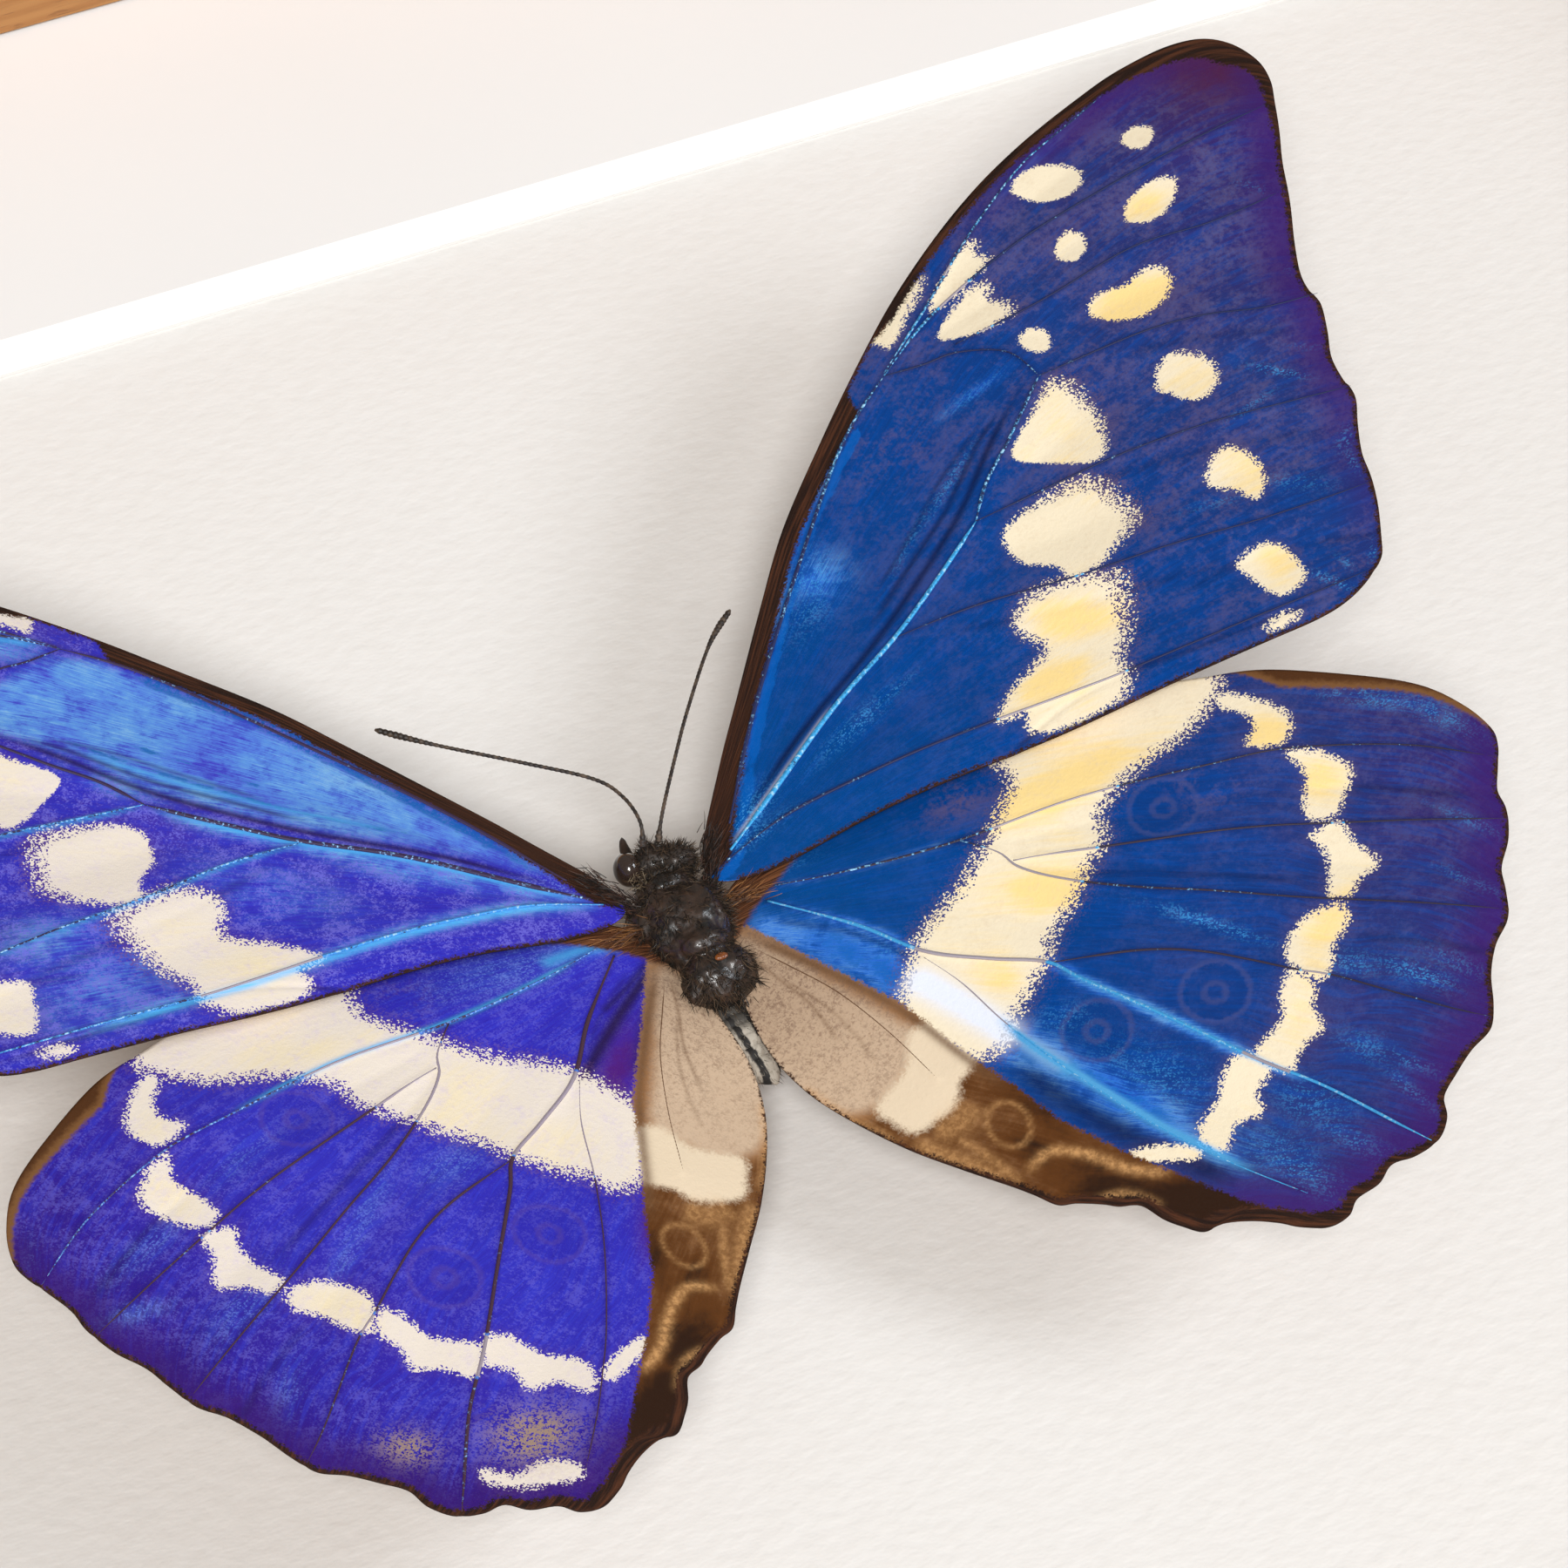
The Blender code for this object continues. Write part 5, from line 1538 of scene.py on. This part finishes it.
# Streaks of painted glints on the forewings.
FORE_SPARKS = (
    (50.2, 17.4, 1.8, 0.22, -48.0, 1.0), (49.4, 18.4, 1.0, 0.2, -40.0, 0.7),
    (52.6, 18.2, 1.0, 0.2, -40.0, 0.6), (47.2, 16.0, 2.0, 0.3, 10.0, 0.35),
    (51.2, 10.6, 0.9, 0.5, 40.0, 0.9), (50.6, 8.8, 1.0, 0.25, 80.0, 0.8),
    (44.8, 1.6, 1.8, 0.22, -62.0, 1.0), (46.4, 1.9, 1.0, 0.15, -80.0, 0.8),
    (48.2, 1.8, 1.0, 0.3, 60.0, 0.7), (46.8, 9.4, 2.2, 0.6, -40.0, 0.4),
    (56.0, 31.4, 1.2, 0.25, -60.0, 0.6), (54.6, 24.2, 0.8, 0.25, -80.0, 0.6),
    (15.4, 8.4, 2.8, 0.6, 20.0, 0.6), (18.4, 9.4, 1.6, 0.3, 15.0, 0.5),
    (6.6, 6.2, 2.4, 0.9, 32.0, 0.9), (6.4, 4.7, 2.4, 0.5, 10.0, 0.6),
    (18.2, 20.2, 1.9, 1.7, 0.0, 0.55), (17.0, 18.2, 2.4, 1.2, 40.0, 0.4),
    (33.0, 27.2, 2.2, 0.35, 10.0, 0.4), (28.6, 21.8, 3.0, 0.35, 35.0, 0.5),
    (24.8, 19.4, 3.4, 0.3, 38.0, 0.4), (42.0, 10.6, 2.2, 0.4, -15.0, 0.3),
)
# Painted highlights along the forewing veins.
STEM_FLASH = (
    (0.14, 0.45, ((4.8, 4.9), (9.7, 7.7), (14.8, 10.6))),
)
LEFT_FLASH = (
    (0.26, 0.8, ((4.2, 3.8), (8.6, 4.7), (14.4, 4.4), (22.6, 3.6), (31.6, 2.3), (38.6, 1.4))),
    (0.2, 0.75, ((4.8, 4.4), (9.7, 7.1), (14.8, 10.0), (20.3, 12.6), (24.7, 15.2), (28.7, 17.8))),
    (0.16, 0.6, ((20.3, 12.8), (26.0, 12.1), (31.6, 10.6), (37.0, 9.3), (43.6, 7.7))),
    (0.16, 0.6, ((28.7, 18.0), (33.0, 17.8), (38.4, 17.3), (44.6, 16.1))),
    (0.2, 0.5, ((14.0, 12.4), (20.0, 15.8), (26.0, 19.6), (31.0, 23.4))),
    (0.3, 0.7, ((29.6, 32.2), (34.0, 34.0), (40.0, 35.8))),
)
# Spots and lines of painted sheen on the forewings.
CELL_SHEEN = (
    (18.2, 20.2, 2.0, 1.8, 0.0, 0.6), (33.0, 27.2, 2.2, 0.35, 10.0, 0.4),
    (47.0, 42.9, 4.0, 0.35, 24.0, 0.7),
)
SHOULDER_SHEEN = (
    (0.35, 0.55, ((6.0, 7.0), (10.0, 12.4), (14.6, 18.0), (19.6, 24.0), (24.6, 29.0))),
)
CELL_SMOKE = ((27.0, 26.6, 6.0, 4.0, 40.0, 0.8),)
LEFT_SHEEN = (
    (14.0, 9.0, 4.6, 1.0, 26.0, 0.8), (24.0, 9.6, 4.2, 2.0, 30.0, 0.35),
    (36.6, 4.6, 4.6, 2.4, -10.0, 0.55), (38.0, 8.6, 3.4, 1.8, 0.0, 0.5),
    (30.0, 20.4, 2.6, 0.8, 40.0, 0.7), (33.6, 33.0, 4.0, 1.0, 30.0, 0.7),
)
LEFT_SHEEN_RAYS = (
    (0.55, 0.9, ((4.4, 4.1), (10.0, 4.9), (18.0, 4.3), (26.0, 3.3), (34.0, 2.2), (42.0, 1.2))),
    (0.5, 0.8, ((5.2, 4.4), (9.9, 6.9), (14.8, 9.7), (20.2, 12.3), (28.0, 17.2))),
)
LEFT_TEAL = (
    (0.35, 0.55, ((12.0, 11.2), (18.0, 14.6), (24.0, 18.6), (29.6, 22.8), (33.6, 26.0))),
    (0.3, 0.5, ((20.0, 17.4), (25.0, 21.2), (30.0, 25.0))),
)
FORE_HONEY = (
    (30.6, 8.0, 3.0, 1.6, -30.0, 1.0), (27.0, 4.6, 2.6, 1.4, 0.0, 0.8),
    (45.2, 28.0, 3.0, 1.6, 0.0, 1.2), (49.8, 34.6, 2.6, 1.4, 0.0, 0.7),
    (43.0, 4.6, 2.0, 2.4, 0.0, 0.7), (44.4, 11.4, 2.0, 2.4, 0.0, 0.6),
    (45.2, 20.4, 2.4, 2.4, 0.0, 0.5),
)
TIP_PLUM = ((58.2, 42.0, 4.2, 3.4, 60.0, 0.8),)
FORE_VEIN_GLINTS = {
    "right": {"stem": (1.0, 0.9), "stem_end": (0.5, 0.5), "shoulder": (0.1, 0.5),
              "outer": (0.7, -0.6), "edge": (0.6, 0.4), "cross": (0.1, 0.3), "first": (0.0, -0.3),
              "second": (0.2, -0.5), "third": (0.2, -0.2), "fourth": (0.2, -0.3),
              "inner": (0.3, -0.3)},
    "left": {"stem": (0.3, 0.3), "stem_end": (-0.2, 0.0), "shoulder": (-0.2, 0.2),
             "outer": (0.5, -0.2), "edge": (0.4, 0.3), "cross": (0.3, 0.3), "first": (0.2, 0.0),
             "second": (0.3, 0.0), "third": (0.8, 0.2), "fourth": (0.7, 0.3),
             "inner": (1.0, 0.6)},
}
FORE_THICK = {
    "stem": (0.19, 0.14), "stem_end": (0.13, 0.09), "shoulder": (0.15, 0.10), "outer": (0.12, 0.05),
    "edge": (0.10, 0.06), "inner": (0.12, 0.06), "other": (0.09, 0.05),
}
# Each side's rib colours: the dark rib, its painted glint and its painted highlight.
FORE_RIBS = {
    "right": (dye(34, 40, 84), dye(64, 170, 230), dye(190, 228, 246)),
    "left": (dye(52, 36, 70), dye(74, 160, 236), dye(190, 228, 246)),
}


def no_drop(points):
    return np.zeros(len(points))


fore_shape = {
    "places": fore_places, "counts": FORE_COUNTS, "tilt": FORE_TILT, "lift": FORE_LIFT,
    "height": height, "drop_of": no_drop, "veins": FORE_VEINS, "creases": FORE_CREASES,
    "seed": FORE_COCKLE, "marks": FORE_MARKS,
}
in_cell = np.clip(cell_depth / 1.2, 0.0, 1.0)
beyond_rim = front_gap - front_width
for side, label, hue_and_sheen in ((1.0, "right", RIGHT_HUE_AND_PAINTED_SHEEN), (-1.0, "left", LEFT_HUE_AND_PAINTED_SHEEN)):
    right = side > 0.0
    if right:
        glow = soft_spots(fore_places, CELL_SHEEN)
        glow = np.maximum(glow, soft_lines(fore_places, SHOULDER_SHEEN))
        dusk = np.interp(fore_reach, [0.2, 0.45, 0.7, 1.0], [0.05, 0.35, 0.75, 0.8])
        dusk = np.maximum(dusk, in_cell * soft_spots(fore_places, CELL_SMOKE))
        teal = np.exp(-(((beyond_rim - 0.5) / 0.5) ** 2)) * (front_share < 0.44) * 0.8
    else:
        glow = np.maximum(in_cell, soft_spots(fore_places, LEFT_SHEEN))
        glow = np.maximum(glow, soft_lines(fore_places, LEFT_SHEEN_RAYS))
        dusk = np.interp(fore_reach, [0.15, 0.4, 0.7, 1.0], [0.2, 0.35, 0.5, 0.6]) * (1.0 - in_cell)
        teal = np.exp(-(((beyond_rim - 0.3) / 0.75) ** 2))
        teal = teal * np.interp(front_share, [0.02, 0.14, 0.4, 0.46], [0.3, 0.95, 1.0, 0.0])
        teal = np.maximum(teal, soft_lines(fore_places, LEFT_TEAL))
    fore_marks = {
        "reach": fore_reach,
        "pale": pale,
        "loose": loose,
        "honey": soft_spots(fore_places, FORE_HONEY) * (1.0 if right else 0.4),
        "rim": fore_rim,
        "far": np.interp(fore_reach, [0.7, 0.9], [0.0, 1.0]),
        "vein": ribs,
        "crease": folds,
        "glow": glow,
        "teal": teal,
        "white": soft_lines(fore_places, STEM_FLASH if right else LEFT_FLASH),
        "glint": np.full(len(fore_places), 0.15) if right else 0.75 * (1.0 - in_cell),
        "plum": soft_spots(fore_places, TIP_PLUM),
        "spark": soft_spots(fore_places, FORE_SPARKS) * (1.0 if right else 0.6),
        "dusk": dusk,
    }
    spread_wing(
        "forewing", label, side, hue_and_sheen, fore_shape, fore_marks, FORE_VEIN_GLINTS[label], FORE_THICK,
        FORE_RIBS[label],
    )


# Wing roots: the stiff, scaly hinge of each wing, with long fur that hides the joint.
# The fur is dark at the front edge and tawny between the two wings.
picker = np.random.default_rng(31)
for side, label in ((1.0, "right"), (-1.0, "left")):
    dark_roots, dark_leans, warm_roots, warm_leans = [], [], [], []
    for _ in range(420):
        share = picker.random()
        base = np.array([2.2 + 2.0 * share, 2.6 + 3.6 * share, 1.2 + 0.3 * share])
        base = base + picker.normal(0.0, 0.32, 3)
        dark_roots.append(base * [side, 1.0, 1.0])
        dark_leans.append((side * 0.62, 0.78, 0.12))
    for _ in range(150):
        share = picker.random()
        base = np.array([2.2 + 2.4 * share, 1.6 - 0.6 * share, 1.1 + 0.2 * share])
        base = base + picker.normal(0.0, 0.3, 3)
        warm_roots.append(base * [side, 1.0, 1.0])
        warm_leans.append((side * 1.0, 0.05, 0.15))
    dark_tuft = grow_hair(
        "wing_root_fur_" + label, dark_roots, dark_leans,
        picker.uniform(0.6, 1.5, len(dark_roots)), 0.034, 0.15, 0.0, 33,
    )
    dark_tuft.data.materials.append(costa_fur)
    set_on_pin(dark_tuft, "thorax")
    warm_tuft = grow_hair(
        "tawny_tuft_" + label, warm_roots, warm_leans,
        picker.uniform(1.0, 2.4, len(warm_roots)), 0.026, 0.12, 0.0, 34,
    )
    warm_tuft.data.materials.append(tawny_fur)
    set_on_pin(warm_tuft, "thorax")


# Head: a small furry capsule between two big, dark, polished eyes, with two short palps in front.
head_shell = chitin("head_shell", dye(58, 42, 32), dye(26, 19, 15), 0.35)
head = join(
    "head_capsule",
    [
        ball("skull", (0.1, 5.9, 1.1), (1.35, 1.15, 1.35)),
        ball("brow", (0.1, 6.4, 1.8), (0.8, 0.7, 0.6)),
        ball("neck", (0.0, 4.9, 0.8), (1.3, 0.9, 1.3)),
        ball("hood", (1.3, 5.4, 1.3), (1.3, 1.1, 1.3)),
    ],
)
skin_over(head, 0.12, 4)
rough_up(head, 0.08, 1.4, 7.0)
head.data.materials.clear()
head.data.materials.append(head_shell)
spots, facing = skin_spots(head, 1500, 41)
back = np.tile([0.0, -0.5, 0.3], (len(spots), 1))
length = np.random.default_rng(42).uniform(0.35, 0.95, len(spots))
head_fur = grow_hair(
    "head_fur", spots - facing * 0.04, facing * 0.7 + back, length, 0.032, 0.05, 0.2, 43
)
head_fur.data.materials.append(brown_fur)
lens = Finish("eye_lens")
facets = lens.flecks(lens.place((14.0, 14.0, 14.0)))
bloom = lens.cloud(lens.place((0.8, 0.8, 0.8)), 1.0, 3.0)
eye_finish = lens.surface(
    Base_Color=lens.blend(bloom, dye(30, 21, 18), dye(62, 46, 38)),
    Roughness=0.12 + facets * 0.06,
    Specular_IOR_Level=0.6,
    Coat_Weight=0.5,
    Coat_Roughness=0.08,
    Normal=lens.relief(facets, 0.004, 0.4),
)
palp_share = np.linspace(0.0, 1.0, 25)
palp_thick = np.interp(palp_share, [0.0, 0.5, 0.85, 1.0], [0.3, 0.34, 0.2, 0.04])
for label, eye_at, palp_bends in (
    ("left", (-1.5, 6.15, 1.3), ((-0.6, 6.9, 0.4), (-1.0, 7.6, 1.2), (-1.2, 7.7, 2.5))),
    ("right", (1.5, 5.7, 0.2), ((0.6, 6.7, 0.0), (0.9, 7.0, 0.1), (0.8, 7.0, 0.5))),
):
    eye = ball("eye_" + label, eye_at, (0.88, 1.05, 1.1), 40, 28)
    clear_choice()
    eye.select_set(True)
    bpy.context.view_layer.objects.active = eye
    bpy.ops.object.shade_smooth()
    eye.data.materials.append(eye_finish)
    set_on_pin(eye, "head")
    palp_route = along(smooth_line(palp_bends), palp_share)
    palp = draw_out("palp_" + label, [(palp_route, palp_thick, palp_thick)], 12)
    palp.data.materials.append(head_shell)
    set_on_pin(palp, "head")
set_on_pin(head, "head", "head")
set_on_pin(head_fur, "head")
RUFF_COUNT = 70
picker = np.random.default_rng(51)
ruff_roots = picker.normal((-1.15, 4.7, 1.7), (0.3, 0.4, 0.3), (RUFF_COUNT, 3))
ruff = grow_hair(
    "ruff_hair", ruff_roots, np.tile((-0.35, -0.5, 0.75), (RUFF_COUNT, 1)),
    picker.uniform(0.5, 1.1, RUFF_COUNT), 0.03, 0.1, 0.2, 52,
)
ruff.data.materials.append(fur("pale_ruff", dye(84, 66, 48), dye(196, 176, 146), dye(120, 98, 74)))
set_on_pin(ruff, "head")


# Antennae: two long fine threads of short dark rings, each ending in a slim club.
# They grow from the brow and were set forward in a loose V as the specimen dried.
ANTENNA_ROUTES = {
    "left": ((-0.5, 6.1, 3.0), (-0.1, 7.4, 3.8), (-0.3, 9.5, 4.0), (-1.4, 11.5, 4.1),
             (-4.8, 14.5, 4.1), (-9.0, 18.1, 4.0), (-11.9, 20.8, 4.0)),
    "right": ((0.5, 6.1, 3.0), (1.5, 7.6, 3.8), (3.8, 10.9, 4.0), (6.2, 14.2, 4.1),
              (9.7, 18.6, 4.0), (12.1, 20.7, 4.0)),
}
horn = Finish("antenna_rings")
horn_rings = horn.cloud(horn.place((2.2, 2.2, 2.2)), 1.0, 3.0)
horn_finish = horn.surface(
    Base_Color=horn.blend(horn.rise(horn_rings, 0.4, 0.7), dye(38, 28, 22), dye(92, 74, 58)),
    Roughness=0.45 + horn_rings * 0.2,
    Normal=horn.relief(horn_rings, 0.03, 0.5),
)
ANTENNA_RINGS = 60
shares = np.linspace(0.0, 1.0, 6 * ANTENNA_RINGS + 1)
thick = np.interp(
    shares,
    [0.0, 0.02, 0.05, 0.8, 0.93, 0.99, 1.0],
    [0.2, 0.22, 0.115, 0.115, 0.21, 0.17, 0.06],
)
thick = thick * (1.0 + 0.12 * np.cos(shares * 2.0 * math.pi * ANTENNA_RINGS))
for label, route in ANTENNA_ROUTES.items():
    line = along(smooth_line(route), shares)
    antenna = draw_out("antenna_ringed_" + label, [(line, thick, shares)], 10)
    antenna.data.materials.append(horn_finish)
    set_on_pin(antenna, "antennae", "antenna_" + label)


# The table under the frame, and soft studio light: a pale room, a broad soft lamp in front
# and a cooler, weaker one from the right.
clear_choice()
bpy.ops.mesh.primitive_plane_add(size=6.0, location=(0.0, 0.0, -0.0005))
table = bpy.context.object
table.name = "table_top"
cloth = Finish("table_paper")
table_tone = cloth.cloud(cloth.place((0.004, 0.004, 0.004)), 1.0, 3.0)
table_finish = cloth.surface(
    Base_Color=cloth.blend(table_tone, dye(226, 223, 218), dye(232, 229, 225)),
    Roughness=0.9,
)
table.data.materials.append(table_finish)

scene = bpy.context.scene
scene.view_settings.view_transform = "Standard"
room = bpy.data.worlds.new("pale_room")
scene.world = room
room.use_nodes = True
room.node_tree.nodes["Background"].inputs["Color"].default_value = (1.0, 0.94, 0.87, 1.0)
room.node_tree.nodes["Background"].inputs["Strength"].default_value = 0.25


LAMP_AIM = Vector((0.0, 0.0, 0.02))


def soft_lamp(name, place, size, power, colour):
    """A round diffused lamp aimed at the frame."""
    lamp_data = bpy.data.lights.new(name, "AREA")
    lamp_data.shape = "DISK"
    lamp_data.size = size
    lamp_data.energy = power
    lamp_data.color = colour
    lamp = bpy.data.objects.new(name, lamp_data)
    scene.collection.objects.link(lamp)
    lamp.location = place
    aim = LAMP_AIM - lamp.location
    lamp.rotation_euler = aim.to_track_quat("-Z", "Y").to_euler()


soft_lamp("side_lamp", (1.09, -0.48, 1.07), 0.6, 11.0, (0.86, 0.93, 1.0))
soft_lamp("front_lamp", (-0.40, -0.95, 1.21), 0.5, 24.5, (0.99, 1.0, 1.0))

camera_data = bpy.data.cameras.new("camera")
camera_data.sensor_width = 36.0
camera_data.lens = 137.36
camera_data.clip_start = 0.01
camera = bpy.data.objects.new("camera", camera_data)
scene.collection.objects.link(camera)
camera.location = (-0.08955, -0.21583, 0.29805)
camera.rotation_euler = (math.radians(40.636), math.radians(-0.616), math.radians(-23.761))
scene.camera = camera
